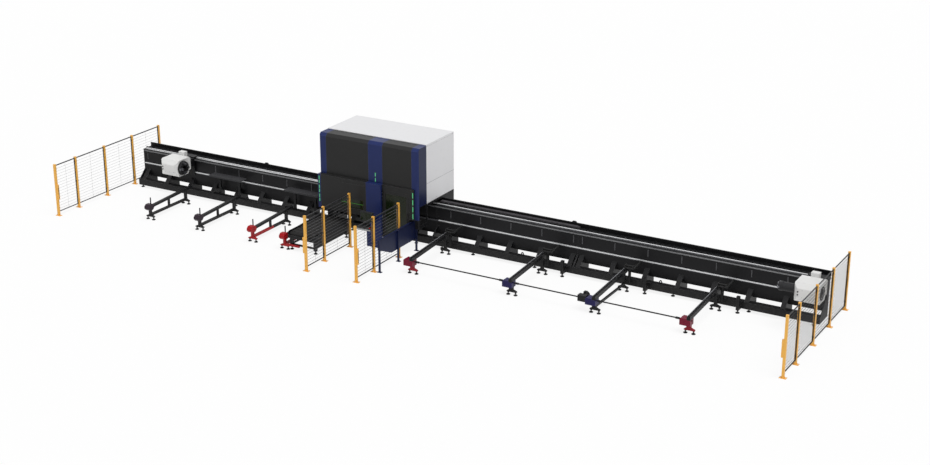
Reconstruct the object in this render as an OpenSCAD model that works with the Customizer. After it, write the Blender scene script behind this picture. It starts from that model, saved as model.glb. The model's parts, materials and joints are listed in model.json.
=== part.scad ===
// Tube laser cutting line: a side-hung bed with two travelling chucks, a closed cutting
// station, chain loading arms, unloading arms, a part conveyor and a safety fence.
// X runs along the line, Y away from the operator, Z up; the origin is on the floor
// in the middle of the fenced area. All lengths are in millimetres.

/* [Line] */
// Distance between the two outer fence lines
line_l = 25360; // [24800:10:27000]
// Distance from the station's right side to the operator aisle's right fence
aisle_in = 444; // [380:1:480]
// Width of the operator aisle between the inner fences
aisle_w = 1832; // [1700:1:2000]
// Free length from the left fence to the bed
left_gap = 370; // [250:5:600]
// Free length from the bed to the right fence
right_gap = 220; // [190:5:400]

/* [Fences] */
// Height of the fence posts
fence_h = 1800; // [1500:10:2400]
// Side of the square fence posts
post_w = 70; // [50:1:90]
// First bay, from the front post to the second post
front_bay = 978; // [800:1:1200]
// Each further bay
rear_bay = 1432; // [1350:1:1600]
// Base plate length across the fence line
plate_w = 200; // [170:1:240]
// Base plate length along the fence line
plate_d = 120; // [100:1:160]
// Base plate thickness
plate_t = 12; // [8:1:20]
// Diameter of the floor anchor holes
anchor_d = 14; // [10:1:18]
// Distance between the two anchor holes of a plate
anchor_pitch = 150; // [130:1:160]
// Bar width of the panel frames
frame_bar = 25; // [18:1:35]
// Distance between two mesh wires
wire_pitch = 100; // [80:1:150]
// Thickness of a mesh wire
wire_t = 6; // [4:1:10]
// Free height below the fence panels
panel_rise = 130; // [80:1:200]
// Height of the light curtain housings
curtain_h = 480; // [400:10:700]

/* [Bed] */
// Height of the bed feet
foot_h = 100; // [80:1:130]
// Height of the front sill beam
sill_h = 210; // [170:1:230]
// Depth of the front sill beam
sill_d = 200; // [160:1:240]
// Front face of the sill, from the middle of the line
sill_y = 1013; // [980:1:1040]
// Front face of the rail wall, from the middle of the line
wall_y = 1363; // [1330:1:1400]
// Depth of the rail wall
wall_d = 337; // [320:1:380]
// Height of the wall's lower edge above the floor
wall_rise = 375; // [350:1:420]
// Height of the rail wall
wall_h = 945; // [920:1:980]
// Distance between two ribs of the infeed bed
rib_pitch = 1080; // [900:10:1150]
// Distance between two ribs of the outfeed bed
out_rib_pitch = 1000; // [900:10:1150]
// Width of a rib
rib_w = 150; // [120:1:200]
// Height of a rib's sloping face above the sill
rib_h = 300; // [220:1:330]
// Length of the inner infeed bed section
inner_bed_l = 4990; // [4800:1:5200]

/* [Rails] */
// Width of a guide rail
rail_w = 50; // [40:1:60]
// Height of a guide rail
rail_h = 42; // [34:1:50]
// Height of the lower rail's middle above the floor
lower_rail_z = 822; // [800:1:840]
// Distance from the wall face to the upper rail's middle
upper_rail_in = 75; // [65:1:85]
// Depth of the cable trough
trough_d = 250; // [230:1:280]
// Height of the cable trough's back wall
trough_h = 145; // [120:1:170]

/* [Chucks] */
// Chuck axis, from the middle of the line
axis_y = 600; // [585:1:610]
// Chuck axis height above the floor
axis_z = 1215; // [1200:1:1225]
// Length of a chuck casing
casing_l = 720; // [680:1:740]
// Width of a chuck casing
casing_w = 640; // [620:1:650]
// Height of a chuck casing
casing_h = 570; // [540:1:590]
// Diameter of the large chuck face
chuck_d = 450; // [420:1:500]
// Diameter of the bore that the tube passes through
chuck_bore_d = 220; // [180:1:240]
// Length of the feed chuck's nose
nose_l = 400; // [300:1:450]
// Diameter of the feed chuck's nose
nose_d = 260; // [220:1:270]
// Diameter of the feed chuck's gripping head
grip_d = 280; // [260:1:320]

/* [Loading arms] */
// Width of a loading arm's beam
loader_w = 110; // [90:1:130]
// Height of a loading arm's beam
loader_h = 110; // [90:1:130]
// Beam top at the front end, above the floor
loader_front_z = 545; // [520:1:580]
// Beam top at the rear end, above the floor
loader_rear_z = 665; // [640:1:690]
// Front legs, from the middle of the line
loader_front_y = -1177; // [-1250:1:-1100]
// Rear legs, from the middle of the line
loader_rear_y = 763; // [740:1:790]
// Diameter of the shaft that drives all arms
shaft_d = 40; // [30:1:50]

/* [Unloading arms] */
// Width of an unloading arm's beam
unload_w = 90; // [70:1:110]
// Height of an unloading arm's beam
unload_h = 85; // [70:1:100]
// Beam top at the front end, above the floor
unload_front_z = 480; // [460:1:520]
// Beam top at the rear end, above the floor
unload_rear_z = 570; // [550:1:610]
// Front legs, from the middle of the line
unload_front_y = -1387; // [-1450:1:-1300]
// Rear legs, from the middle of the line
unload_rear_y = 443; // [400:1:500]
// Length of the stop posts
stop_post_l = 200; // [150:1:300]

/* [Outfeed tables] */
// Length of an outfeed table
table_l = 1370; // [1200:10:1400]
// Height of the table tops above the floor
table_z = 1000; // [980:1:1015]
// Thickness of a table top
table_t = 25; // [20:1:35]

/* [Conveyor] */
// Width of the part conveyor
conveyor_w = 1000; // [850:10:1060]
// Length of the part conveyor
conveyor_l = 2000; // [1800:10:2100]
// Height of the belt above the floor
conveyor_z = 600; // [560:5:640]
// Diameter of the conveyor rollers
roller_d = 140; // [110:2:160]

/* [Cutting station] */
// Width of the cutting station
cab_w = 3690; // [3600:10:3750]
// Middle of the cutting station, from the middle of the line
cab_x = -2124; // [-2140:1:-2110]
// Height of the cutting station
cab_h = 3480; // [3400:10:3600]
// Height of the white cover's lower edge
cover_z = 1556; // [1530:1:1600]
// Depth of the white cover
cover_d = 1685; // [1600:5:1700]
// Front face of the white cover, from the middle of the line
cover_y = 748; // [730:1:780]
// Depth of the coloured front hood
hood_d = 485; // [460:1:490]
// Height of the seam between the upper and the lower front
front_seam_z = 2130; // [2100:5:2200]
// How far the lower front stands proud of the upper one
front_step = 150; // [140:1:160]
// Width of the middle column
column_w = 550; // [500:5:600]
// Height of the sliding door
door_h = 1510; // [1450:5:1515]
// Thickness of the sliding door
door_t = 45; // [35:1:50]

/* [Console and guard] */
// Width of the operator screen
screen_w = 460; // [380:5:520]
// Height of the operator screen
screen_h = 320; // [260:5:360]
// Height of the keyboard tray
tray_z = 860; // [820:5:900]
// Reach of the console arm
arm_reach = 480; // [400:5:520]
// Height of the guard panel's upper edge
guard_z = 1050; // [1000:5:1150]
// Length of the guard panel
guard_l = 2200; // [2000:10:2250]

/* [Hidden] */
$fn = 48;
// Clearance between pieces that move past each other
gap = 0.4;
// Radial clearance of shafts in their bores
run_gap = 0.05;
// Overrun of every cut
cut = 5;

fence_x = line_l / 2;
fence_d = front_bay + 3 * rear_bay;
fence_y = -fence_d / 2;
post_rows = [0, front_bay, front_bay + rear_bay, front_bay + 2 * rear_bay, fence_d];
gusset_h = 90;
gusset_t = 10;
curtain_w = 55;
curtain_z = 600;
cap_t = 8;
cap_over = 3;

bed_x0 = -fence_x + left_gap;
bed_x1 = fence_x - right_gap;
cab_x0 = cab_x - cab_w / 2;
cab_x1 = cab_x + cab_w / 2;
aisle_x1 = cab_x1 - aisle_in;
aisle_x0 = aisle_x1 - aisle_w;
outfeed_l = cab_x0 - bed_x0;
infeed_l = bed_x1 - cab_x1;
joint_x = cab_x1 + inner_bed_l;
sill_top = foot_h + sill_h;
sill_back = sill_y + sill_d;
wall_back = wall_y + wall_d;
bed_top = wall_rise + wall_h;
flange_out = 15;
flange_t = 22;
end_t = 25;
rib_nose = 50;
rib_in = 150;
out_rib_in = 190;
cutting_rib_shares = [0.17, 0.5, 0.83];
stiff_w = 28;
stiff_t = 12;
stiff_z = lower_rail_z + 3 * rail_w;
stiff_h = 230;
lug_w = 150;
lug_h = 110;
lug_t = 24;
lug_hole_d = 46;
leg_w = 95;
leg_h = 420;
leg_out = 100;
leg_y = loader_rear_y + leg_out;
inner_leg_share = 0.947;
outer_leg_shares = [0.318, 0.693];

pad_d = 120;
outfeed_foot_shares = [0.01, 0.5, 0.982];
inner_foot_shares = [0.066, 0.294, 0.731];
outer_foot_shares = [0.421, 0.725, 0.975];
pad_t = 16;
collar_d = 56;
collar_t = 22;
stud_d = 30;

rail_in = 60;
upper_rail_y = wall_y + upper_rail_in;
rail_top = bed_top + rail_h;
rail_waist = 7;
rack_h = 38;
rack_t = 24;
rack_drop = 4;
trough_gap = 60;
trough_y = upper_rail_y + rail_w / 2 + trough_gap;
trough_back = trough_y + trough_d;
trough_t = 8;
trough_lip = 55;
trough_in = 30;
inlet_l = 180;
inlet_h = 45;
inlet_shares = [0.598, 0.359];
chain_w = 140;
chain_h = 70;
chain_gap = 8;
chain_step = 78;
chain_l = 4900;
chain_core = 14;

saddle_t = 40;
saddle_gap = 6;
saddle_y1 = wall_y - rail_h - saddle_gap;
saddle_y0 = saddle_y1 - saddle_t;
saddle_in = 50;
bearing_w = 130;
bearing_clear = 5;
bearing_y0 = upper_rail_y - bearing_w / 2;
bearing_y1 = upper_rail_y + bearing_w / 2;
arm_top = rail_top + saddle_t;
saddle_z0 = lower_rail_z - bearing_w / 2;
casing_y0 = axis_y - casing_w / 2;
casing_y1 = axis_y + casing_w / 2;
casing_z0 = axis_z - casing_h / 2;
casing_z1 = axis_z + casing_h / 2;
casing_front_cut = 140;
casing_rear_cut = 40;
casing_plan_cut = 100;
bracket_drop = 130;
bracket_rise = 150;
bracket_z0 = axis_z - bracket_drop;
bracket_z1 = axis_z + bracket_rise;
top_box_l = 240;
top_box_w = 170;
top_box_h = 110;
top_box_in = 30;
rear_d = 120;
rear_clear = 40;
rear_z = table_z + rear_clear;
rear_cut = 60;
casing_back = casing_y1 + rear_d;
spindle_wall = 40;
spindle_r = chuck_bore_d / 2 + spindle_wall;
disc_t = 95;
jaw_w = 74;
slot_t = 45;
jaw_proud = 70;
jaw_step_share = 0.55;
grip_t = 110;
grip_bore_r = 45;
grip_jaw_w = 50;
grip_slot_t = 40;
grip_jaw_proud = 45;
outfeed_x0_share = 0.197;
outfeed_x0 = bed_x0 + outfeed_l * outfeed_x0_share;
feed_over = 120;
feed_x0 = bed_x1 - casing_l + feed_over;
middle_l = 420;
middle_off = 300;
middle_x0 = cab_x + middle_off;
middle_arm_h = 300;

foot_half = 122;
foot_arm_h = 75;
foot_arm_d = 70;
foot_toe = 40;
foot_toe_h = 28;
loader_shares = [0.052, 0.321, 0.534, 0.763];
loader_x = [for (s = loader_shares) cab_x1 + infeed_l * s];
loader_tail = 140;
loader_end_y = loader_rear_y + loader_tail;
loader_lip = 18;
loader_groove = 16;
block_left = 270;
block_right = loader_w / 2;
block_d = 250;
block_z0 = 260;
block_z1 = 470;
block_cut = 30;
block_y0 = loader_front_y - block_d / 2;
block_y1 = loader_front_y + block_d / 2;
shaft_z = loader_front_z - loader_h - shaft_d;
coupling_d = 66;
coupling_l = 120;
coupling_off = 40;
shaft_tail = 20;
front_leg = 90;
motor_l = 220;
motor_d = 160;
gearbox_l = 260;
gearbox_w = 170;
gearbox_h = 190;
tie_arm = 2;
tie_w = 60;
tie_z = 190;
sleeve_d = 90;
sleeve_z0 = 300;
sleeve_z1 = 640;
rod_d = 50;
rod_z0 = 312;
lift_x = 170;
lift_in = 40;
lift_y = loader_rear_y + lift_in;
lift_plate_l = 280;
lift_plate_w = 190;
lift_plate_t = 24;
lift_plate_z = 756;
lift_cheek = 14;
lift_cheek_h = 60;
lift_roll_d = 52;
lift_bar_w = 46;
lift_bar_t = 40;
lift_bar_rise = 60;
lift_clear = 30;
lift_bar_end = saddle_y0 - lift_clear;

unload_shares = [0.306, 0.555, 0.813, 0.965];
unload_x = [for (s = unload_shares) bed_x0 + outfeed_l * s];
unload_tail = 330;
unload_end_y = unload_rear_y + unload_tail;
unload_low_z = 130;
unload_low_h = 70;
strut_share = 0.52;
strut_w = 62;
brace_l = 560;
brace_t = 60;
stop_w = 190;
stop_d = 280;
stop_h = 205;
stop_z = 345;
stop_cut = 70;
stop_shift = 40;
stop_post_d = 40;

table_shares = [0.386, 0.762];
table_x = [for (s = table_shares) bed_x0 + outfeed_l * s];
table_clear = 16;
table_y0 = casing_y1 + table_clear;
table_y1 = saddle_y0 - table_clear;
hinge_in = 25;
hinge_drop = 40;
hinge_y = sill_back - hinge_in;
hinge_z = table_z - table_t - hinge_drop;
hinge_pin_d = 28;
hinge_post_w = 80;
hinge_post_d = 60;
knuckle_d = 54;
knuckle_l = 70;
knuckle_gap = 2;
hinge_shares = [0.2, 0.8];
table_seam = 8;
table_skirt = 30;

conveyor_gap = 125;
conveyor_x0 = unload_x[3] + unload_w / 2 + conveyor_gap;
conveyor_x1 = conveyor_x0 + conveyor_w;
conveyor_over = 50;
conveyor_y0 = unload_front_y - conveyor_over;
conveyor_y1 = conveyor_y0 + conveyor_l;
side_t = 20;
side_h = 400;
side_over = 45;
belt_t = 10;
belt_gap = 12;
low_side_h = side_over + roller_d + 2 * belt_t + side_t + belt_gap / 2;
cleat_t = 14;
cleat_h = 10;
cleat_step = 210;
roller_r = roller_d / 2;
roller_pin_r = 22;
roller_in = 60;
roller_y0 = conveyor_y0 + roller_r + roller_in;
roller_y1 = conveyor_y1 - roller_r - roller_in;
roller_z = conveyor_z - belt_t - roller_r;
cross_t = 50;
cross_shares = [0.3, 0.7];
drive_w = 190;
drive_l = 300;
drive_h = 170;

cover_back = cover_y + cover_d;
cover_t = 30;
cover_lip = 50;
seam_w = 8;
seam_t = 5;
cover_seam_share = 0.34;
hood_y = cover_y - hood_d;
hood_t = 40;
hood_drop = 20;
hood_top = cab_h - hood_drop;
hood_bevel = 90;
corner_cut = 30;
corner_w = 250;
corner_low_z = 1130;
column_off = 15;
column_x0 = cab_x - column_off;
column_x1 = column_x0 + column_w;
column_top_shift = 15;
front_y = hood_y - front_step;
column_d = 80;
ledge_t = 20;
left_low_z = 1000;
left_edge_w = 110;
panel_t = 40;
recess_t = 6;
recess_w = 840;
recess_h = 105;
recess_in = 60;
recess_drop = 15;
recess_x = column_x0 - recess_in - recess_w;
recess_z = front_seam_z - ledge_t - recess_h - recess_drop;
window_w = 850;
window_h = 320;
window_in = 100;
window_x = column_x0 - window_in - window_w;
window_z = 1180;
pane_t = 8;
door_gap = 10;
jamb_w = 321;
jamb_in = 150;
door_y1 = hood_y - door_gap;
door_y0 = door_y1 - door_t;
door_x0 = column_x1 + door_gap;
door_x1 = cab_x1 - jamb_w;
door_z0 = 440;
door_z1 = door_z0 + door_h;
door_edge = 95;
track_d = 68;
track_in = 8;
track_h = 60;
led_w = 26;
led_t = 8;
led_gap = 14;
led_low = 1190;
led_right_z = 1160;
led_h = 900;
led_mid_h = 330;
led_line_h = 14;
station_leg = 140;
leg_gap = 40;
leg_back_y = conveyor_y1 + leg_gap;
tube_way_in = 20;
side_wall_t = 40;
side_beam_h = 100;
back_wall_z = 300;
bridge_off = 760;
bridge_x = cab_x - bridge_off;
bridge_w = 220;
bridge_h = 250;
bridge_rise = 440;
bridge_reach = 270;
bridge_gap = 40;
bridge_z = cover_z + bridge_rise;
bridge_y0 = axis_y - bridge_reach;
bridge_col_y = trough_back + bridge_gap;
bridge_col_d = 240;
bridge_base = 60;
bridge_base_t = 24;
bridge_tie_z = 700;
head_rail_w = 24;
head_rail_t = 14;
carriage_t = 60;
carriage_l = 260;
carriage_over = 40;
head_plate_t = 36;
head_plate_w = 150;
head_plate_h = 520;
head_r = 48;
head_body_h = 330;
nozzle_r = 12;
nozzle_gap = 15;
nozzle_tip = axis_z + chuck_bore_d / 2 + nozzle_gap;
nozzle_h = 110;

pivot_off = 70;
pivot_out = 55;
pivot_x = (column_x0 + column_x1) / 2 + pivot_off;
pivot_y = front_y - pivot_out;
pivot_r = 22;
pivot_ear = 34;
pivot_w = 90;
arm_rise = 130;
arm_z = tray_z + arm_rise;
arm_w = 60;
arm_h = 64;
screen_t = 85;
screen_gap = 20;
screen_z = arm_z + arm_h / 2 + screen_gap;
screen_y = pivot_y - arm_reach;
bezel = 26;
bezel_t = 8;
tray_w = 520;
tray_d = 260;
tray_t = 36;
key_w = 400;
key_d = 130;
key_t = 10;
stem_w = 90;
button_r = 24;
button_h = 20;
button_stem_r = 12;
button_seat_r = 30;
button_seat_h = 14;
button_lift = 10;

guard_t = 20;
guard_x = door_x1 + door_gap + guard_t / 2;
guard_post = 50;
guard_in = 300;
guard_y1 = hood_y + guard_in;
guard_y0 = guard_y1 - guard_l;
guard_low_z = 400;
guard_nose_z = 720;
guard_nose_share = 0.34;
guard_base = 140;
guard_flange = 40;

fence_black = [0.16, 0.17, 0.19];
bed_black = [0.07, 0.07, 0.08];
steel = [0.72, 0.73, 0.75];
post_yellow = [0.9, 0.6, 0.2];
chuck_white = [0.9, 0.9, 0.9];
cover_white = [0.88, 0.88, 0.89];
hood_blue = [0.16, 0.19, 0.36];
panel_grey = [0.19, 0.19, 0.19];
led_green = [0.3, 0.75, 0.5];
glass_green = [0.2, 0.3, 0.1, 0.6];

// Box between two corners
module block(lo, hi) {
    translate(lo) cube(hi - lo);
}

// Outline in Y and Z, drawn out along X
module prism_x(x0, x1, outline) {
    translate([x0, 0, 0]) rotate([90, 0, 90]) linear_extrude(x1 - x0) polygon(outline);
}

// Outline in X and Z, drawn out along Y
module prism_y(y0, y1, outline) {
    translate([0, y1, 0]) rotate([90, 0, 0]) linear_extrude(y1 - y0) polygon(outline);
}

// Outline in X and Y, drawn out along Z
module prism_z(z0, z1, outline) {
    translate([0, 0, z0]) linear_extrude(z1 - z0) polygon(outline);
}

module rod_x(x0, x1, y, z, r) {
    translate([x0, y, z]) rotate([0, 90, 0]) cylinder(h = x1 - x0, r = r);
}

module rod_y(y0, y1, x, z, r) {
    translate([x, y1, z]) rotate([90, 0, 0]) cylinder(h = y1 - y0, r = r);
}

module rod_z(z0, z1, x, y, r) {
    translate([x, y, z0]) cylinder(h = z1 - z0, r = r);
}

// Bed: rail wall on ribs over a front sill

// Ribs of one bed section, counted from one of its ends
function rib_row(from, inset, pitch, l, side) =
    [for (i = [0:floor((l - inset - rib_w / 2 - end_t) / pitch)]) from + side * (inset + pitch * i)];
outfeed_ribs = rib_row(bed_x0, out_rib_in, out_rib_pitch, outfeed_l, 1);
inner_ribs = rib_row(joint_x, rib_in, rib_pitch, joint_x - cab_x1, -1);
outer_ribs = rib_row(joint_x, rib_in, rib_pitch, bed_x1 - joint_x, 1);
cutting_ribs = [for (s = cutting_rib_shares) cab_x0 + cab_w * s];

wall_outline = [
    [wall_y, wall_rise], [wall_y, bed_top - flange_t],
    [wall_y - flange_out, bed_top - flange_t], [wall_y - flange_out, bed_top],
    [wall_back, bed_top], [wall_back, wall_rise]
];
rib_outline = [
    [sill_y + rib_nose, sill_top], [wall_y, sill_top + rib_h], [wall_y, wall_rise],
    [wall_back, wall_rise], [wall_back, foot_h], [sill_back, foot_h], [sill_back, sill_top]
];
end_outline = [
    [sill_y, foot_h], [sill_y, sill_top], [sill_y + rib_nose, sill_top],
    [wall_y, sill_top + rib_h], [wall_y, bed_top], [wall_back, bed_top], [wall_back, foot_h]
];

module lifting_lug(x) {
    difference() {
        prism_y(sill_y + sill_d / 2 - lug_t / 2, sill_y + sill_d / 2 + lug_t / 2, [
            [x - lug_w / 2, sill_top], [x - lug_hole_d / 2, sill_top + lug_h],
            [x + lug_hole_d / 2, sill_top + lug_h], [x + lug_w / 2, sill_top]
        ]);
        rod_y(sill_y, sill_back, x, sill_top + lug_h / 2, lug_hole_d / 2);
    }
}

module bed_section(x0, x1, ribs, stiffened) {
    prism_x(x0, x1, wall_outline);
    block([x0, sill_y, foot_h], [x1, sill_back, sill_top]);
    for (x = ribs) {
        prism_x(x - rib_w / 2, x + rib_w / 2, rib_outline);
        if (stiffened)
            block([x - stiff_w / 2, wall_y - stiff_t, stiff_z], [x + stiff_w / 2, wall_y, stiff_z + stiff_h]);
    }
    prism_x(x0, x0 + end_t, end_outline);
    prism_x(x1 - end_t, x1, end_outline);
}

module support_leg(x) {
    block([x - leg_w / 2, leg_y - leg_w / 2, foot_h], [x + leg_w / 2, leg_y + leg_w / 2, foot_h + leg_h]);
    block([x - leg_w / 2, leg_y, foot_h], [x + leg_w / 2, sill_y, sill_top - sill_h / 2]);
}

inner_leg_x = cab_x1 + inner_bed_l * inner_leg_share;
outer_leg_x = [for (s = outer_leg_shares) joint_x + (bed_x1 - joint_x) * s];

module table_post(x) {
    block([x - hinge_post_w / 2, hinge_y - hinge_post_d / 2, sill_top - cut],
        [x + hinge_post_w / 2, hinge_y + hinge_in, hinge_z]);
    rod_x(x - hinge_post_w / 2, x + hinge_post_w / 2, hinge_y, hinge_z, hinge_in);
    rod_x(x - hinge_post_w / 2 - knuckle_gap - knuckle_l, x + hinge_post_w / 2, hinge_y, hinge_z,
        hinge_pin_d / 2);
}

module outfeed_bed() color(bed_black) {
    bed_section(bed_x0, cab_x0, outfeed_ribs, true);
    lifting_lug((outfeed_ribs[4] + outfeed_ribs[5]) / 2);
    for (x = table_x, s = hinge_shares) table_post(x + table_l * s);
}

module infeed_bed_inner() color(bed_black) {
    bed_section(cab_x1, joint_x, inner_ribs, true);
    lifting_lug((inner_ribs[1] + inner_ribs[2]) / 2);
    support_leg(inner_leg_x);
}

module infeed_bed_outer() color(bed_black) {
    bed_section(joint_x, bed_x1, outer_ribs, true);
    lifting_lug((outer_ribs[2] + outer_ribs[3]) / 2);
    for (x = outer_leg_x) support_leg(x);
}

// Base of the cutting station: bed section, legs, dark side and back walls
module cutting_base() color(bed_black) {
    bed_section(cab_x0, cab_x1, cutting_ribs, false);
    side_y = trough_back + station_leg / 2;
    low_beam_z = casing_z0 - side_beam_h;
    block([cab_x0, cover_back - side_wall_t, back_wall_z], [cab_x1, cover_back, cover_z]);
    for (x = [cab_x0, cab_x1 - side_wall_t]) {
        block([x, side_y, foot_h], [x + side_wall_t, cover_back, cover_z]);
        block([x, cover_y, bed_top + trough_h], [x + side_wall_t, cover_back, cover_z]);
        block([x, cover_y, low_beam_z], [x + side_wall_t, cover_y + side_wall_t, cover_z]);
        block([x, leg_back_y, low_beam_z], [x + side_wall_t, cover_y + side_wall_t, low_beam_z + side_beam_h]);
        block([x, wall_back - cut, wall_rise], [x + side_wall_t, side_y + station_leg, bed_top - trough_h]);
    }
    block([cab_x0, leg_back_y, foot_h], [cab_x0 + station_leg, leg_back_y + station_leg, low_beam_z]);
    block([cab_x0, leg_back_y, foot_h], [cab_x0 + side_wall_t, sill_y + cut, sill_top]);
    block([cab_x1 - side_wall_t, hood_y + corner_cut, low_beam_z], [cab_x1, leg_back_y + cut,
        low_beam_z + side_beam_h]);
    prism_z(low_beam_z, corner_low_z, [
        [cab_x1 - station_leg, hood_y], [cab_x1 - corner_cut, hood_y], [cab_x1, hood_y + corner_cut],
        [cab_x1, hood_y + station_leg], [cab_x1 - station_leg, hood_y + station_leg]
    ]);
}

// Two guide rails and the drive rack
upper_rail_outline = [
    [upper_rail_y - rail_w / 2, bed_top], [upper_rail_y - rail_w / 2 + rail_waist, bed_top + rail_h / 2],
    [upper_rail_y - rail_w / 2, rail_top], [upper_rail_y + rail_w / 2, rail_top],
    [upper_rail_y + rail_w / 2 - rail_waist, bed_top + rail_h / 2], [upper_rail_y + rail_w / 2, bed_top]
];
lower_rail_outline = [
    [wall_y, lower_rail_z - rail_w / 2], [wall_y - rail_h / 2, lower_rail_z - rail_w / 2 + rail_waist],
    [wall_y - rail_h, lower_rail_z - rail_w / 2], [wall_y - rail_h, lower_rail_z + rail_w / 2],
    [wall_y - rail_h / 2, lower_rail_z + rail_w / 2 - rail_waist], [wall_y, lower_rail_z + rail_w / 2]
];

module guide_rails() color(steel) {
    rack_z1 = bed_top - flange_t - rack_drop;
    prism_x(bed_x0 + rail_in, bed_x1 - rail_in, upper_rail_outline);
    prism_x(bed_x0 + rail_in, bed_x1 - rail_in, lower_rail_outline);
    block([bed_x0 + rail_in, wall_y - rack_t, rack_z1 - rack_h], [bed_x1 - rail_in, wall_y, rack_z1]);
}

module cable_trough() color(bed_black) {
    prism_x(bed_x0, bed_x1, [
        [trough_y, bed_top], [trough_y, bed_top + trough_lip], [trough_y + trough_t, bed_top + trough_lip],
        [trough_y + trough_t, bed_top + trough_t], [trough_back - trough_t, bed_top + trough_t],
        [trough_back - trough_t, bed_top + trough_h - trough_t],
        [trough_back - trough_in, bed_top + trough_h - trough_t],
        [trough_back - trough_in, bed_top + trough_h], [trough_back, bed_top + trough_h], [trough_back, bed_top]
    ]);
    for (x = [bed_x0 + outfeed_l * inlet_shares[0], cab_x1 + infeed_l * inlet_shares[1]])
        prism_y(trough_back - trough_in, trough_back, [
            [x, bed_top + trough_h], [x + inlet_h, bed_top + trough_h + inlet_h],
            [x + inlet_l - inlet_h, bed_top + trough_h + inlet_h], [x + inlet_l, bed_top + trough_h]
        ]);
}

// Chain links laid on the trough floor, joined by a core
module drag_chain() color([0.3, 0.3, 0.32]) {
    y0 = trough_y + (trough_d - chain_w) / 2;
    z0 = bed_top + trough_t;
    block([cab_x1, y0 + chain_core, z0 + chain_core], [cab_x1 + chain_l, y0 + chain_w - chain_core,
        z0 + chain_h - chain_core]);
    for (x = [cab_x1:chain_step:cab_x1 + chain_l - chain_step])
        block([x, y0, z0], [x + chain_step - chain_gap, y0 + chain_w, z0 + chain_h]);
}

module levelling_foot(x, y, top) {
    rod_z(0, pad_t, x, y, pad_d / 2);
    rod_z(pad_t, pad_t + collar_t, x, y, collar_d / 2);
    rod_z(pad_t + collar_t, top, x, y, stud_d / 2);
}

// Front feet under the sill at shares of the section, rear feet under its ribs
module bed_feet(x0, x1, shares, ribs) {
    for (s = shares) levelling_foot(x0 + (x1 - x0) * s, sill_y + sill_d / 2, foot_h);
    for (i = [0, floor((len(ribs) - 1) / 2), len(ribs) - 1])
        levelling_foot(ribs[i], wall_back - pad_d / 2, foot_h);
}

module foot_pair(x, y) {
    for (s = [-1, 1]) levelling_foot(x + s * foot_half, y, foot_h);
}

module levelling_feet() color(bed_black) {
    bed_feet(bed_x0, cab_x0, outfeed_foot_shares, outfeed_ribs);
    bed_feet(cab_x0, cab_x1, cutting_rib_shares, cutting_ribs);
    bed_feet(cab_x1, joint_x, inner_foot_shares, inner_ribs);
    bed_feet(joint_x, bed_x1, outer_foot_shares, outer_ribs);
    for (x = [inner_leg_x, outer_leg_x[0], outer_leg_x[1]]) levelling_foot(x, leg_y, foot_h);
    levelling_foot(cab_x0 + station_leg / 2, leg_back_y + station_leg / 2, foot_h);
    for (x = [cab_x0 + side_wall_t / 2, cab_x1 - side_wall_t / 2])
        levelling_foot(x, cover_back - pad_d, foot_h);
    for (x = loader_x, y = [loader_front_y, loader_rear_y]) foot_pair(x, y);
    for (x = unload_x, y = [unload_front_y, unload_rear_y]) foot_pair(x, y);
    for (x = [conveyor_x0 + leg_w / 2, conveyor_x1 - leg_w / 2], y = [roller_y0, roller_y1])
        levelling_foot(x, y, foot_h);
}

// Chuck carriages

saddle_outline = [
    [saddle_y0, saddle_z0], [saddle_y0, arm_top], [bearing_y1, arm_top],
    [bearing_y1, bed_top + bearing_clear], [upper_rail_y + rail_w / 2 + gap, bed_top + bearing_clear],
    [upper_rail_y + rail_w / 2 + gap, rail_top + gap], [upper_rail_y - rail_w / 2 - gap, rail_top + gap],
    [upper_rail_y - rail_w / 2 - gap, bed_top + bearing_clear], [bearing_y0, bed_top + bearing_clear],
    [bearing_y0, rail_top], [saddle_y1, rail_top],
    [saddle_y1, lower_rail_z + bearing_w / 2], [wall_y - bearing_clear, lower_rail_z + bearing_w / 2],
    [wall_y - bearing_clear, lower_rail_z + rail_w / 2 + gap],
    [wall_y - rail_h - gap, lower_rail_z + rail_w / 2 + gap],
    [wall_y - rail_h - gap, lower_rail_z - rail_w / 2 - gap],
    [wall_y - bearing_clear, lower_rail_z - rail_w / 2 - gap], [wall_y - bearing_clear, saddle_z0]
];

module saddle(x0) color(bed_black) {
    prism_x(x0 + saddle_in, x0 + casing_l - saddle_in, saddle_outline);
    block([x0 + saddle_in, casing_back, bracket_z0], [x0 + casing_l - saddle_in, saddle_y0, bracket_z1]);
}

casing_outline = [
    [casing_y0 + casing_front_cut, casing_z0], [casing_y0, casing_z0 + casing_front_cut],
    [casing_y0, casing_z1 - casing_front_cut], [casing_y0 + casing_front_cut, casing_z1],
    [casing_y1 - casing_rear_cut, casing_z1], [casing_y1, casing_z1 - casing_rear_cut],
    [casing_y1, casing_z0 + casing_rear_cut], [casing_y1 - casing_rear_cut, casing_z0]
];

module casing_body(x0, l, bore_r) {
    difference() {
        intersection() {
            prism_x(x0, x0 + l, casing_outline);
            prism_z(casing_z0 - cut, casing_z1 + cut, [
                [x0, casing_y0 + casing_plan_cut], [x0 + casing_plan_cut, casing_y0],
                [x0 + l - casing_plan_cut, casing_y0], [x0 + l, casing_y0 + casing_plan_cut],
                [x0 + l, casing_y1], [x0, casing_y1]
            ]);
        }
        rod_x(x0 - cut, x0 + l + cut, axis_y, axis_z, bore_r);
    }
}

module casing(x0, bore_r) color(chuck_white) {
    casing_body(x0, casing_l, bore_r);
    prism_x(x0, x0 + casing_l, [
        [casing_y1 - casing_rear_cut, rear_z], [casing_y1 - casing_rear_cut, casing_z1],
        [casing_back - rear_cut, casing_z1], [casing_back, casing_z1 - rear_cut], [casing_back, rear_z]
    ]);
    block([x0 + (casing_l - top_box_l) / 2, casing_back - top_box_in, casing_z1 - rear_cut],
        [x0 + (casing_l + top_box_l) / 2, casing_back - top_box_in + top_box_w, casing_z1 + top_box_h]);
}

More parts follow.
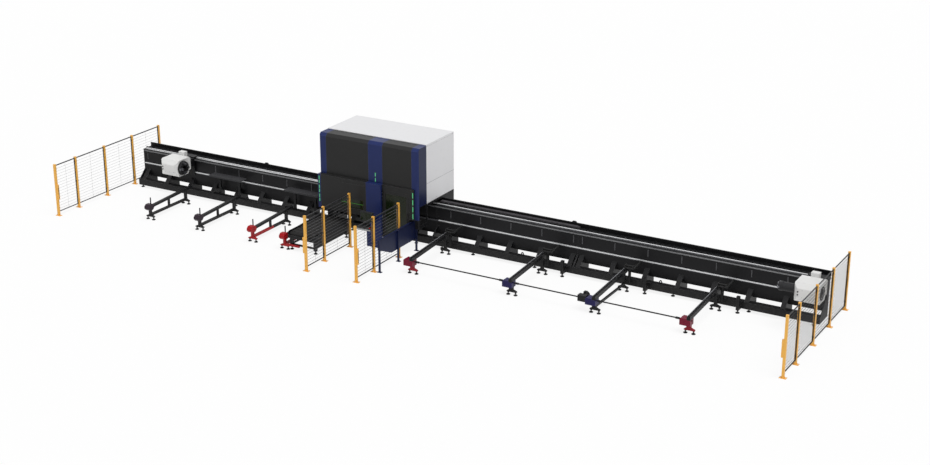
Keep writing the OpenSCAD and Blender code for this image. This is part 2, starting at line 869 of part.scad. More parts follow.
// Puts a chuck's own axis on the line, facing along X to the given side
module on_axis(x, side) {
    translate([x, axis_y, axis_z]) rotate([0, side * 90, 0]) children();
}

module jaw_slots(r_in, r_out, w, top, depth) {
    for (i = [0:3])
        rotate(90 * i) translate([r_in, -w / 2, top - depth]) cube([r_out - r_in + cut, w, depth + cut]);
}

// Large four-jaw chuck with a hollow spindle
module large_chuck(spindle_l) {
    difference() {
        union() {
            translate([0, 0, gap]) cylinder(h = disc_t, r = chuck_d / 2);
            translate([0, 0, -spindle_l]) cylinder(h = spindle_l + gap + disc_t / 2, r = spindle_r);
        }
        translate([0, 0, -spindle_l - cut]) cylinder(h = spindle_l + disc_t + 2 * cut, r = chuck_bore_d / 2);
        jaw_slots(0, chuck_d / 2, jaw_w, gap + disc_t, slot_t);
    }
}

// Long-nosed chuck with a small gripping head
module nose_chuck(spindle_l) {
    top = gap + nose_l + grip_t;
    difference() {
        union() {
            translate([0, 0, -spindle_l]) cylinder(h = spindle_l + nose_l + grip_t / 2, r = nose_d / 2);
            translate([0, 0, gap]) cylinder(h = disc_t / 2, r = spindle_r);
            translate([0, 0, gap + nose_l]) cylinder(h = grip_t, r = grip_d / 2);
        }
        translate([0, 0, -spindle_l - cut]) cylinder(h = spindle_l + top + 2 * cut, r = grip_bore_r);
        jaw_slots(0, grip_d / 2, grip_jaw_w, top, grip_slot_t);
    }
}

// Stepped jaw that slides in one slot
module jaw(turn, r_in, r_out, w, top, depth, proud) {
    step = (r_out - r_in) * jaw_step_share;
    rotate(90 * turn) translate([r_in, -w / 2 + gap, top - depth + gap]) {
        cube([r_out - r_in, w - 2 * gap, depth]);
        cube([step, w - 2 * gap, depth + proud]);
    }
}

module large_jaw(turn) color(steel) jaw(turn, chuck_bore_d / 2 + cut, chuck_d / 2 - cut, jaw_w,
    gap + disc_t, slot_t, jaw_proud);

module nose_jaw(turn) color(steel) jaw(turn, grip_bore_r + cut, grip_d / 2 - cut, grip_jaw_w,
    gap + nose_l + grip_t, grip_slot_t, grip_jaw_proud);

module outfeed_saddle() saddle(outfeed_x0);
module outfeed_casing() casing(outfeed_x0, spindle_r + run_gap);
module outfeed_chuck() color(bed_black) on_axis(outfeed_x0 + casing_l, 1) large_chuck(casing_l);
module outfeed_jaw(turn) on_axis(outfeed_x0 + casing_l, 1) large_jaw(turn);

module feed_saddle() saddle(feed_x0);
module feed_casing() casing(feed_x0, nose_d / 2 + run_gap);
module feed_chuck() color(bed_black) on_axis(feed_x0, -1) nose_chuck(casing_l);
module feed_jaw(turn) on_axis(feed_x0, -1) nose_jaw(turn);

module middle_stand() color(panel_grey) {
    casing_body(middle_x0, middle_l, spindle_r + run_gap);
    block([middle_x0, casing_y1, axis_z - middle_arm_h / 2], [middle_x0 + middle_l, wall_y - rack_t,
        axis_z + middle_arm_h / 2 - 2 * rack_h]);
    block([middle_x0, sill_y, sill_top], [middle_x0 + middle_l, saddle_y0, axis_z - middle_arm_h / 2]);
}
module middle_chuck() color(bed_black) on_axis(middle_x0, -1) large_chuck(middle_l);
module middle_jaw(turn) on_axis(middle_x0, -1) large_jaw(turn);

// Tilting outfeed tables

module outfeed_table(x) color(panel_grey) {
    difference() {
        union() {
            block([x, table_y0, table_z - table_t], [x + table_l, table_y1, table_z]);
            block([x, table_y0, table_z - table_t - table_skirt], [x + table_l, table_y0 + table_t, table_z]);
        }
        block([x - cut, (table_y0 + table_y1) / 2 - table_seam / 2, table_z - table_seam],
            [x + table_l + cut, (table_y0 + table_y1) / 2 + table_seam / 2, table_z + cut]);
    }
    for (s = hinge_shares) {
        x1 = x + table_l * s - hinge_post_w / 2 - knuckle_gap;
        difference() {
            union() {
                rod_x(x1 - knuckle_l, x1, hinge_y, hinge_z, knuckle_d / 2);
                block([x1 - knuckle_l, hinge_y - knuckle_d / 2, hinge_z],
                    [x1, hinge_y + knuckle_d / 2, table_z - table_t]);
            }
            rod_x(x1 - knuckle_l - cut, x1 + cut, hinge_y, hinge_z, hinge_pin_d / 2 + run_gap);
        }
    }
}
module outfeed_table_outer() outfeed_table(table_x[0]);
module outfeed_table_inner() outfeed_table(table_x[1]);

// Loading arms

module foot_arm(x, y, top, left = leg_w / 2) {
    prism_y(y - foot_arm_d / 2, y + foot_arm_d / 2, [
        [x - foot_half - foot_toe, foot_h], [x - foot_half - foot_toe, foot_h + foot_toe_h],
        [x - left, foot_h + foot_arm_h], [x - left, top], [x + leg_w / 2, top],
        [x + leg_w / 2, foot_h + foot_arm_h], [x + foot_half + foot_toe, foot_h + foot_toe_h],
        [x + foot_half + foot_toe, foot_h]
    ]);
}

// Height of a loading arm's top at a place along it
function loader_top(y) = loader_front_z
    + (loader_rear_z - loader_front_z) * (y - block_y0) / (loader_end_y - block_y0);

module loader_beam(x) {
    prism_x(x - loader_w / 2, x + loader_w / 2, [
        [block_y0, loader_front_z - loader_h], [block_y0, loader_front_z],
        [loader_end_y, loader_rear_z], [loader_end_y, loader_rear_z - loader_h]
    ]);
}

module loader_arm(x) {
    difference() {
        loader_beam(x);
        prism_x(x - loader_w / 2 + loader_lip, x + loader_w / 2 - loader_lip, [
            [block_y0 - cut, loader_top(block_y0 - cut) - loader_groove],
            [block_y0 - cut, loader_top(block_y0 - cut) + loader_groove],
            [loader_end_y + cut, loader_top(loader_end_y + cut) + loader_groove],
            [loader_end_y + cut, loader_top(loader_end_y + cut) - loader_groove]
        ]);
    }
    foot_arm(x, loader_rear_y, loader_top(loader_rear_y) - loader_h + cut);
    foot_arm(x, loader_front_y, block_z0, front_leg);
    difference() {
        union() {
            rod_z(sleeve_z0, sleeve_z1, x + lift_x, lift_y, sleeve_d / 2);
            block([x, lift_y - leg_w / 4, sleeve_z0], [x + lift_x, lift_y + leg_w / 4, sleeve_z0 + foot_arm_h]);
        }
        rod_z(sleeve_z0 - cut, sleeve_z1 + cut, x + lift_x, lift_y, rod_d / 2 + run_gap);
    }
}

module loader_arms() color(bed_black) {
    for (x = loader_x) loader_arm(x);
    x = loader_x[tie_arm];
    block([x + leg_w / 2 - tie_w, loader_front_y, tie_z], [x + leg_w / 2, loader_rear_y, tie_z + tie_w]);
}

module loader_blocks() color([0.3, 0.13, 0.24]) {
    for (x = loader_x)
        difference() {
            prism_y(block_y0, block_y1, [
                [x - block_left, block_z0], [x - block_left, block_z1 - block_cut],
                [x - block_left + block_cut, block_z1], [x + block_right - block_cut, block_z1],
                [x + block_right, block_z1 - block_cut], [x + block_right, block_z0]
            ]);
            loader_beam(x);
            rod_x(x - block_left - cut, x + block_right + cut, loader_front_y, shaft_z, shaft_d / 2 + run_gap);
        }
}

module loader_shaft() color(steel) {
    rod_x(loader_x[0] - block_left - shaft_tail, loader_x[3] + block_right + shaft_tail, loader_front_y,
        shaft_z, shaft_d / 2);
    for (i = [0:3]) {
        if (i < 3)
            rod_x(loader_x[i] + block_right + coupling_off, loader_x[i] + block_right + coupling_off
                + coupling_l, loader_front_y, shaft_z, coupling_d / 2);
        if (i == 1 || i == 3)
            rod_x(loader_x[i] - block_left - coupling_off - coupling_l, loader_x[i] - block_left
                - coupling_off, loader_front_y, shaft_z, coupling_d / 2);
    }
}

// Gear motor that hangs on the third block and turns the shaft
module loader_motor() color(bed_black) {
    x1 = loader_x[2] - block_left;
    x0 = x1 - gearbox_l;
    difference() {
        union() {
            block([x0, loader_front_y - gearbox_w / 2, shaft_z - gearbox_h / 2],
                [x1, loader_front_y + gearbox_w / 2, shaft_z + gearbox_h / 2]);
            rod_y(loader_front_y + gearbox_w / 2, loader_front_y + gearbox_w / 2 + motor_l, (x0 + x1) / 2,
                shaft_z, motor_d / 2);
        }
        rod_x(x0 - cut, x1 + cut, loader_front_y, shaft_z, shaft_d / 2 + run_gap);
    }
}

// Lift with a roller bed that raises the tube to the chuck axis
module tube_lift(x) color(panel_grey) {
    xl = x + lift_x;
    z1 = lift_plate_z + lift_plate_t;
    rod_z(rod_z0, lift_plate_z, xl, lift_y, rod_d / 2);
    block([xl - lift_plate_l / 2, lift_y - lift_plate_w / 2, lift_plate_z],
        [xl + lift_plate_l / 2, lift_y + lift_plate_w / 2, z1]);
    for (s = [-1, 1])
        block([xl + s * (lift_plate_l - lift_cheek) / 2 - lift_cheek / 2, lift_y - lift_plate_w / 2, z1],
            [xl + s * (lift_plate_l - lift_cheek) / 2 + lift_cheek / 2, lift_y + lift_plate_w / 2,
            z1 + lift_cheek_h]);
    rod_x(xl - lift_plate_l / 2, xl + lift_plate_l / 2, lift_y, z1 + lift_cheek_h / 2, lift_roll_d / 2);
    prism_x(xl + lift_plate_l / 2, xl + lift_plate_l / 2 + lift_bar_w, [
        [lift_y - lift_plate_w / 2, lift_plate_z], [lift_y - lift_plate_w / 2, lift_plate_z + lift_bar_t],
        [lift_bar_end, lift_plate_z + lift_bar_t + lift_bar_rise], [lift_bar_end, lift_plate_z + lift_bar_rise]
    ]);
}

// Unloading arms

function unload_top(y) = unload_front_z
    + (unload_rear_z - unload_front_z) * (y - unload_front_y) / (unload_end_y - unload_front_y);

module unloading_arm(x) {
    y0 = unload_front_y - leg_w / 2;
    strut_y = unload_front_y + (unload_rear_y - unload_front_y) * strut_share;
    prism_x(x - unload_w / 2, x + unload_w / 2, [
        [y0, unload_top(y0) - unload_h], [y0, unload_top(y0)],
        [unload_end_y, unload_rear_z], [unload_end_y, unload_rear_z - unload_h]
    ]);
    block([x - unload_w / 2, unload_front_y, unload_low_z],
        [x + unload_w / 2, unload_rear_y, unload_low_z + unload_low_h]);
    block([x - strut_w / 2, strut_y - strut_w / 2, unload_low_z],
        [x + strut_w / 2, strut_y + strut_w / 2, unload_top(strut_y) - unload_h / 2]);
    foot_arm(x, unload_front_y, unload_front_z - unload_h / 2);
    foot_arm(x, unload_rear_y, unload_top(unload_rear_y) - unload_h / 2);
}

module unloading_arms() color(bed_black) {
    for (x = unload_x) unloading_arm(x);
    x = unload_x[3];
    block([x, unload_front_y - brace_t / 2, unload_low_z],
        [x + brace_l, unload_front_y + brace_t / 2, unload_low_z + brace_t]);
}

// Front stops: a clamp block on the beam with an upright post
module stop_blocks() color([0.6, 0.12, 0.14]) {
    for (x = unload_x) {
        y0 = unload_front_y - stop_d / 2 - stop_shift;
        y1 = y0 + stop_d;
        difference() {
            prism_x(x - stop_w / 2, x + stop_w / 2, [
                [y0, stop_z + stop_cut], [y0, stop_z + stop_h - stop_cut], [y0 + stop_cut, stop_z + stop_h],
                [y1 - stop_cut, stop_z + stop_h], [y1, stop_z + stop_h - stop_cut], [y1, stop_z + stop_cut],
                [y1 - stop_cut, stop_z], [y0 + stop_cut, stop_z]
            ]);
            block([x - unload_w / 2 - gap, unload_front_y - leg_w / 2 - gap, stop_z - cut],
                [x + unload_w / 2 + gap, y1 + cut, unload_top(y1) + gap]);
            block([x - leg_w / 2 - gap, unload_front_y - foot_arm_d / 2 - gap, stop_z - cut],
                [x + leg_w / 2 + gap, unload_front_y + foot_arm_d / 2 + gap, unload_front_z]);
        }
        rod_z(stop_z + stop_h - stop_cut / 2, stop_z + stop_h + stop_post_l, x, unload_front_y + stop_shift,
            stop_post_d / 2);
    }
}

// Part conveyor

module conveyor_side(x, z0, z1) {
    prism_x(x, x + side_t, [
        [conveyor_y0, z0], [conveyor_y0, z1 - side_over], [conveyor_y0 + side_over, z1],
        [conveyor_y1, z1], [conveyor_y1, z0]
    ]);
}

module conveyor_frame() color(bed_black) {
    z1 = conveyor_z + side_over;
    z0 = z1 - low_side_h;
    difference() {
        union() {
            conveyor_side(conveyor_x0, z0, z1);
            conveyor_side(conveyor_x1 - side_t, z1 - side_h, z1);
            for (x = [conveyor_x0, conveyor_x1 - leg_w], y = [roller_y0, roller_y1])
                block([x, y - leg_w / 2, foot_h], [x + leg_w, y + leg_w / 2, z0]);
            for (y = [roller_y0, roller_y1])
                block([conveyor_x0, y - cross_t / 2, foot_h + cross_t],
                    [conveyor_x1, y + cross_t / 2, foot_h + 2 * cross_t]);
            for (s = cross_shares)
                block([conveyor_x0, conveyor_y0 + conveyor_l * s - cross_t / 2, z0],
                    [conveyor_x1, conveyor_y0 + conveyor_l * s + cross_t / 2, z0 + side_t]);
            for (x = [conveyor_x0, conveyor_x1 - leg_w])
                block([x, roller_y0, foot_h + cross_t], [x + cross_t, roller_y1, foot_h + 2 * cross_t]);
            block([conveyor_x0, conveyor_y0, z0], [conveyor_x1, conveyor_y0 + side_t, roller_z]);
            block([conveyor_x1, roller_y0 - drive_l / 2, roller_z - drive_h / 2],
                [conveyor_x1 + drive_w, roller_y0 + drive_l / 2, roller_z + drive_h / 2]);
        }
        for (y = [roller_y0, roller_y1])
            rod_x(conveyor_x0 - cut, conveyor_x1 + drive_w / 2, y, roller_z, roller_pin_r + run_gap);
    }
}

module belt_loop(r, x0, x1) {
    rod_x(x0, x1, roller_y0, roller_z, r);
    rod_x(x0, x1, roller_y1, roller_z, r);
    block([x0, roller_y0, roller_z - r], [x1, roller_y1, roller_z + r]);
}

belt_x0 = conveyor_x0 + side_t + belt_gap;
belt_x1 = conveyor_x1 - side_t - belt_gap;

module conveyor_belt() color([0.12, 0.12, 0.12]) {
    difference() {
        belt_loop(roller_r + belt_t, belt_x0, belt_x1);
        belt_loop(roller_r + gap, belt_x0 - cut, belt_x1 + cut);
    }
    for (y = [roller_y0:cleat_step:roller_y1 - cleat_t])
        block([belt_x0, y, conveyor_z - belt_t / 2], [belt_x1, y + cleat_t, conveyor_z + cleat_h]);
}

module conveyor_roller(y) color(steel) {
    rod_x(belt_x0, belt_x1, y, roller_z, roller_r);
    rod_x(conveyor_x0, conveyor_x1 + drive_w / 4, y, roller_z, roller_pin_r);
}
module head_roller() conveyor_roller(roller_y0);
module tail_roller() conveyor_roller(roller_y1);

// Cutting station

// White cover: a shell open below and towards the front hood
module cabinet_cover() color(cover_white) {
    seam_z = cover_z + (cab_h - cover_z) * cover_seam_share;
    difference() {
        block([cab_x0, cover_y, cover_z], [cab_x1, cover_back, cab_h]);
        block([cab_x0 + cover_t, cover_y - cut, cover_z - cut], [cab_x1 - cover_t, cover_back - cover_t,
            cab_h - cover_t]);
        for (x = [cab_x0 - cut, cab_x1 - seam_t])
            block([x, cover_y - cut, seam_z], [x + seam_t + cut, cover_back + cut, seam_z + seam_w]);
        block([cab_x0 - cut, cover_back - seam_t, seam_z], [cab_x1 + cut, cover_back + cut, seam_z + seam_w]);
        for (s = cross_shares)
            block([cab_x0 + cab_w * s, cover_back - seam_t, cover_z - cut],
                [cab_x0 + cab_w * s + seam_w, cover_back + cut, cab_h - cover_lip]);
    }
}

// Hood section in Y and Z; inset t gives the inner surface
function hood_outline(t, low, back) = [
    [hood_y + t, low], [hood_y + t, hood_top - hood_bevel - t / 2], [hood_y + hood_bevel + t / 2, hood_top - t],
    [back, hood_top - t], [back, low]
];

module hood_slice(x0, x1) {
    difference() {
        prism_x(x0, x1, hood_outline(0, front_seam_z, cover_y));
        prism_x(x0 - cut, x1 + cut, hood_outline(hood_t, front_seam_z - cut, cover_y + cut));
    }
}

// Corner of the hood; side -1 is the left one
module hood_corner_solid(side, t, low, over) {
    edge = side < 0 ? cab_x0 + t : cab_x1 - t;
    inner = side < 0 ? cab_x0 + corner_w + over : cab_x1 - corner_w - over;
    intersection() {
        prism_x(min(edge, inner), max(edge, inner), hood_outline(t, low, cover_y + over));
        prism_z(low - cut, cab_h, [
            [edge, hood_y + corner_cut + t / 2], [edge - side * (corner_cut - t / 2), hood_y + t],
            [inner, hood_y + t], [inner, cover_y + 2 * cut], [edge, cover_y + 2 * cut]
        ]);
    }
}

module hood_corner(side, low) {
    difference() {
        hood_corner_solid(side, 0, low, 0);
        hood_corner_solid(side, hood_t, low - cut, cut);
    }
}

module front_frame() color(hood_blue) {
    hood_corner(-1, front_seam_z);
    difference() {
        hood_corner(1, corner_low_z);
        block([cab_x1 - hood_t - cut, hood_y + corner_cut + tube_way_in, corner_low_z - cut],
            [cab_x1 + cut, cover_y + cut, cover_z]);
    }
    hood_slice(column_x0 + column_top_shift, column_x1 - column_top_shift);
    block([column_x0, front_y, 0], [column_x1, front_y + column_d, front_seam_z - ledge_t]);
    block([column_x0, front_y, front_seam_z - ledge_t], [column_x1, hood_y + hood_t, front_seam_z]);
    block([cab_x0, front_y, left_low_z], [cab_x0 + left_edge_w, front_y + panel_t, front_seam_z]);
    block([cab_x0, front_y, left_low_z], [cab_x0 + panel_t, hood_y + station_leg, front_seam_z]);
    for (z = [arm_z - arm_h / 2 - gap - pivot_ear, arm_z + arm_h / 2 + gap])
        block([pivot_x - pivot_w / 2, pivot_y - pivot_w / 2, z],
            [pivot_x + pivot_w / 2, front_y, z + pivot_ear]);
    rod_z(arm_z - arm_h / 2 - pivot_ear, arm_z + arm_h / 2 + pivot_ear, pivot_x, pivot_y, pivot_r);
}

module front_panels() color(panel_grey) {
    hood_slice(cab_x0 + corner_w, column_x0 + column_top_shift);
    hood_slice(column_x1 - column_top_shift, cab_x1 - corner_w);
    difference() {
        block([cab_x0 + left_edge_w, front_y, left_low_z],
            [column_x0, front_y + panel_t, front_seam_z - ledge_t]);
        block([recess_x, front_y - cut, recess_z],
            [recess_x + recess_w, front_y + recess_t, recess_z + recess_h]);
        block([window_x, front_y - cut, window_z], [window_x + window_w, front_y + panel_t + cut,
            window_z + window_h]);
    }
    block([cab_x0 + left_edge_w, front_y, front_seam_z - ledge_t], [column_x0, hood_y + hood_t, front_seam_z]);
    header_z = door_z1 + gap;
    block([column_x1, door_y0 - track_in, header_z], [cab_x1 - jamb_in, hood_y, front_seam_z]);
    block([door_x1 + door_gap, door_y0 - track_in, corner_low_z], [cab_x1 - jamb_in, hood_y, header_z]);
    block([column_x1, hood_y, front_seam_z - ledge_t], [cab_x1 - corner_w, hood_y + hood_t, front_seam_z]);
    block([column_x1, door_y0 - track_in, door_z0 - gap - track_h], [guard_x - guard_t / 2, hood_y + track_in,
        door_z0 - gap]);
    block([column_x1 - track_d, front_y + column_d, door_z0 - gap - track_h], [column_x1, hood_y,
        door_z0 - gap]);
}

module front_window() color(glass_green) {
    block([window_x, front_y + panel_t / 2 - pane_t / 2, window_z],
        [window_x + window_w, front_y + panel_t / 2 + pane_t / 2, window_z + window_h]);
}

module door() color(panel_grey) {
    difference() {
        block([door_x0, door_y0, door_z0], [door_x1, door_y1, door_z1]);
        block([door_x0 + door_edge, door_y0 - cut, door_z0 + door_edge], [door_x1 - door_edge, door_y1 + cut,
            door_z1 - door_edge]);
    }
}

module door_glass() color(glass_green) {
    y = (door_y0 + door_y1) / 2;
    block([door_x0 + door_edge, y - pane_t / 2, door_z0 + door_edge], [door_x1 - door_edge, y + pane_t / 2,
        door_z1 - door_edge]);
}

// Light strip of separate bars, standing on a front face
module led_strip(x, y, z, h, count) {
    step = (h + led_gap) / count;
    for (i = [0:count - 1])
        block([x - led_w / 2, y - led_t, z + step * i], [x + led_w / 2, y, z + step * (i + 1) - led_gap]);
}

module led_strips() color(led_green) {
    led_strip(cab_x0 + left_edge_w / 2, front_y, led_low, led_h, 3);
    led_strip(cab_x1 - jamb_in - led_w, door_y0 - track_in, led_right_z, led_h, 4);
    led_strip((column_x0 + column_x1) / 2, hood_y, front_seam_z + led_gap, led_mid_h, 2);
    block([window_x, front_y + panel_t / 2 - pane_t / 2 - led_t, window_z + window_h / 2],
        [window_x + window_w, front_y + panel_t / 2 - pane_t / 2, window_z + window_h / 2 + led_line_h]);
}

// Cutting bridge on a rear column, with two rails for the head
module cutting_bridge() color([0.5, 0.5, 0.52]) {
    x1 = bridge_x + bridge_w;
    block([bridge_x, bridge_y0, bridge_z], [x1, bridge_col_y + bridge_col_d, bridge_z + bridge_h]);
    block([bridge_x, bridge_col_y, bridge_base_t], [x1, bridge_col_y + bridge_col_d, bridge_z]);
    block([bridge_x - bridge_base, bridge_col_y - bridge_base / 2, 0], [x1 + bridge_base,
        bridge_col_y + bridge_col_d + bridge_base, bridge_base_t]);
    block([bridge_x, wall_back, bridge_tie_z], [x1, bridge_col_y, bridge_tie_z + bridge_h]);
    for (z = [bridge_z + head_rail_w, bridge_z + bridge_h - 2 * head_rail_w])
        block([x1, bridge_y0, z], [x1 + head_rail_t, bridge_col_y, z + head_rail_w]);
}

carriage_x0 = bridge_x + bridge_w + head_rail_t + gap;
carriage_x1 = carriage_x0 + carriage_t;

module head_carriage() color(steel) {
    block([carriage_x0, axis_y - carriage_l / 2, bridge_z - carriage_over],
        [carriage_x1, axis_y + carriage_l / 2, bridge_z + bridge_h + carriage_over]);
    block([carriage_x1, axis_y - head_rail_w / 2, bridge_z - carriage_over],
        [carriage_x1 + head_rail_t, axis_y + head_rail_w / 2, bridge_z + bridge_h + carriage_over]);
}

module cutting_head() color(chuck_white) {
    x0 = carriage_x1 + head_rail_t + gap;
    x = x0 + head_plate_t + head_r;
    plate_z0 = nozzle_tip + nozzle_h + head_body_h;
    block([x0, axis_y - head_plate_w / 2, plate_z0], [x0 + head_plate_t, axis_y + head_plate_w / 2,
        plate_z0 + head_plate_h]);
    rod_z(nozzle_tip + nozzle_h, plate_z0 + head_plate_h / 2, x, axis_y, head_r);
    block([x0 + head_plate_t / 2, axis_y - head_r, plate_z0],
        [x, axis_y + head_r, plate_z0 + head_plate_h / 2]);
    translate([x, axis_y, nozzle_tip]) cylinder(h = nozzle_h, r1 = nozzle_r, r2 = head_r);
}

// Operator console on a swinging arm
module console() color(panel_grey) {
    tray_y0 = screen_y - tray_d * 2 / 3;
    seat_x = pivot_x + tray_w / 2 - 2 * button_seat_r;
    seat_y = tray_y0 + 2 * button_seat_r;
    difference() {
        union() {
            rod_z(arm_z - arm_h / 2, arm_z + arm_h / 2, pivot_x, pivot_y, pivot_r + arm_w / 4);
            block([pivot_x - arm_w / 2, screen_y + screen_t, arm_z - arm_h / 2], [pivot_x + arm_w / 2, pivot_y,
                arm_z + arm_h / 2]);
        }
        rod_z(arm_z - arm_h, arm_z + arm_h, pivot_x, pivot_y, pivot_r + run_gap);
    }
    difference() {
        block([pivot_x - screen_w / 2, screen_y, screen_z], [pivot_x + screen_w / 2, screen_y + screen_t,
            screen_z + screen_h]);
        block([pivot_x - screen_w / 2 + bezel, screen_y - cut, screen_z + bezel],
            [pivot_x + screen_w / 2 - bezel, screen_y + bezel_t, screen_z + screen_h - bezel]);
    }
    block([pivot_x - stem_w / 2, screen_y + screen_t / 2, tray_z],
        [pivot_x + stem_w / 2, screen_y + screen_t + arm_w, screen_z + stem_w]);
    difference() {
        union() {
            block([pivot_x - tray_w / 2, tray_y0, tray_z - tray_t], [pivot_x + tray_w / 2,
                screen_y + screen_t + arm_w, tray_z]);
            rod_z(tray_z, tray_z + button_seat_h, seat_x, seat_y, button_seat_r);
            block([pivot_x - tray_w / 2 + bezel, tray_y0 + bezel, tray_z],
                [pivot_x - tray_w / 2 + bezel + key_w, tray_y0 + bezel + key_d, tray_z + key_t]);
        }
        rod_z(tray_z - tray_t / 2, tray_z + button_seat_h + cut, seat_x, seat_y, button_stem_r + run_gap);
    }
}

module stop_button() color([0.8, 0.1, 0.1]) {
    x = pivot_x + tray_w / 2 - 2 * button_seat_r;
    y = screen_y - tray_d * 2 / 3 + 2 * button_seat_r;
    z = tray_z + button_seat_h + button_lift;
    rod_z(z, z + button_h, x, y, button_r);
    rod_z(tray_z, z, x, y, button_stem_r);
}

// Blue guard panel beside the door
module guard_panel() color(hood_blue) {
    prism_x(guard_x - guard_t / 2, guard_x + guard_t / 2, [
        [guard_y0, guard_nose_z], [guard_y0, guard_z], [guard_y1, guard_z], [guard_y1, guard_low_z],
        [guard_y0 + guard_l * guard_nose_share, guard_low_z]
    ]);
    block([guard_x - guard_t / 2, guard_y0, guard_z - guard_t], [guard_x + guard_flange, guard_y1, guard_z]);
    for (y = [guard_y0, (guard_y0 + guard_y1 - guard_post) / 2, guard_y1 - guard_post]) {
        block([guard_x + guard_t / 2 - cut, y, plate_t], [guard_x + guard_t / 2 + guard_post, y + guard_post,
            guard_z - guard_t]);
        x = guard_x + (guard_t + guard_post) / 2;
        block([x - guard_base / 2, y - guard_post / 2, 0],
            [x + guard_base / 2, y + guard_post * 3 / 2, plate_t]);
    }
}

// Safety fence

// Fence lines: place along X and number of posts
fence_lines = [[-fence_x, 5], [aisle_x0, 3], [aisle_x1, 3], [fence_x, 5]];

module fence_post(x, y) {
    difference() {
        block([x - plate_w / 2, y - plate_d / 2, 0], [x + plate_w / 2, y + plate_d / 2, plate_t]);
        for (s = [-1, 1]) rod_z(-cut, plate_t + cut, x + s * anchor_pitch / 2, y, anchor_d / 2);
    }
    block([x - post_w / 2, y - post_w / 2, plate_t], [x + post_w / 2, y + post_w / 2, fence_h - cap_t]);
    block([x - post_w / 2 - cap_over, y - post_w / 2, fence_h - cap_t],
        [x + post_w / 2 + cap_over, y + post_w / 2, fence_h]);
    prism_y(y - gusset_t / 2, y + gusset_t / 2, [
        [x - post_w / 2 - gusset_h / 4, plate_t], [x - post_w / 2, plate_t + gusset_h],
        [x + post_w / 2, plate_t + gusset_h], [x + post_w / 2 + gusset_h / 4, plate_t]
    ]);
}

module fence_posts() color(post_yellow) {
    for (f = fence_lines, i = [0:f[1] - 1]) fence_post(f[0], fence_y + post_rows[i]);
}

module fence_panel(x, y0, y1) {
    z0 = panel_rise;
    z1 = fence_h - cap_t - frame_bar;
    difference() {
        block([x - frame_bar / 2, y0, z0], [x + frame_bar / 2, y1, z1]);
        block([x - frame_bar, y0 + frame_bar, z0 + frame_bar], [x + frame_bar, y1 - frame_bar, z1 - frame_bar]);
    }
    for (z = [z0 + wire_pitch:wire_pitch:z1 - frame_bar - wire_t])
        block([x - wire_t / 2, y0 + frame_bar - wire_t, z],
            [x + wire_t / 2, y1 - frame_bar + wire_t, z + wire_t]);
}

module fence_panels() color(fence_black) {
    for (f = fence_lines, i = [0:f[1] - 2])
        fence_panel(f[0], fence_y + post_rows[i] + post_w / 2, fence_y + post_rows[i + 1] - post_w / 2);
}

// Light curtain housings on the front posts, facing each other across the work areas
module light_curtains() color([0.85, 0.5, 0.12]) {
    for (i = [0:3]) {
        side = i % 2 == 0 ? 1 : -1;
        x = fence_lines[i][0] + side * (post_w + curtain_w) / 2;
        block([x - curtain_w / 2, fence_y - curtain_w / 2, curtain_z],
            [x + curtain_w / 2, fence_y + curtain_w / 2, curtain_z + curtain_h]);
    }
}

outfeed_bed();
cutting_base();
infeed_bed_inner();
infeed_bed_outer();
guide_rails();
cable_trough();
drag_chain();
levelling_feet();
outfeed_saddle();
outfeed_casing();
outfeed_chuck();
for (i = [0:3])
    outfeed_jaw(i);
feed_saddle();
feed_casing();
feed_chuck();
for (i = [0:3])
    feed_jaw(i);
middle_stand();
middle_chuck();
for (i = [0:3])
    middle_jaw(i);
outfeed_table_outer();
outfeed_table_inner();
loader_arms();
loader_blocks();
loader_shaft();
loader_motor();
for (i = [0:3])
    tube_lift(loader_x[i]);
unloading_arms();
stop_blocks();
conveyor_frame();
conveyor_belt();
head_roller();
tail_roller();
cabinet_cover();
front_frame();
front_panels();
front_window();
door();
door_glass();
led_strips();
cutting_bridge();
head_carriage();
cutting_head();
console();
stop_button();
guard_panel();
fence_posts();
fence_panels();
light_curtains();
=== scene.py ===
"""Finishes, fine pieces and stage for a tube laser cutting line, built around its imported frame."""

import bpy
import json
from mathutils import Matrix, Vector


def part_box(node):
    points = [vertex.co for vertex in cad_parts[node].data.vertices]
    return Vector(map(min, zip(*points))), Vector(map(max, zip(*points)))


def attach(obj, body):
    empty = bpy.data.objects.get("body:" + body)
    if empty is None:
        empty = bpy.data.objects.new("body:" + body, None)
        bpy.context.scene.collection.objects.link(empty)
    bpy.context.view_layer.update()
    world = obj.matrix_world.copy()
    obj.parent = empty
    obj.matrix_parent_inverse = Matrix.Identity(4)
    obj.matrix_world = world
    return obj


bl_info = {
    "name": "Tube laser cutting line",
    "version": (1, 0, 0),
    "blender": (4, 5, 0),
    "location": "View3D > Sidebar > Laser line",
    "description": "Dresses a tube laser cutting line with its finishes and fine pieces",
    "category": "Object",
}

import json
import math

import bmesh
import bpy
from mathutils import Matrix, Vector

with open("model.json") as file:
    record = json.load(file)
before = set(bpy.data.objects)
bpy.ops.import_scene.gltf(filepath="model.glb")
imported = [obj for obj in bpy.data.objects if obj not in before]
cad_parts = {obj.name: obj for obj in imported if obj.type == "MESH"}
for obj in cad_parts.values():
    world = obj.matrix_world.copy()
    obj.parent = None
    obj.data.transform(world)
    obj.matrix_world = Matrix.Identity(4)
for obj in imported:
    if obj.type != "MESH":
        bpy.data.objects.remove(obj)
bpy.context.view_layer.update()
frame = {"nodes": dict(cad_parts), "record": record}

MM = 0.001
# Camera: the photo's width in pixels, the sensor's in millimetres, the focal length in pixels, the place
# in metres and the angles in degrees
PHOTO_W = 930
SENSOR_W = 36.0
FOCAL_PX = 1614.5
CAMERA_AT = (24.595, -40.102, 18.325)
CAMERA_YAW = 29.9004
CAMERA_DOWN = 20.3496
# Edges sharper than this stay sharp
SMOOTH_ANGLE = math.radians(35)
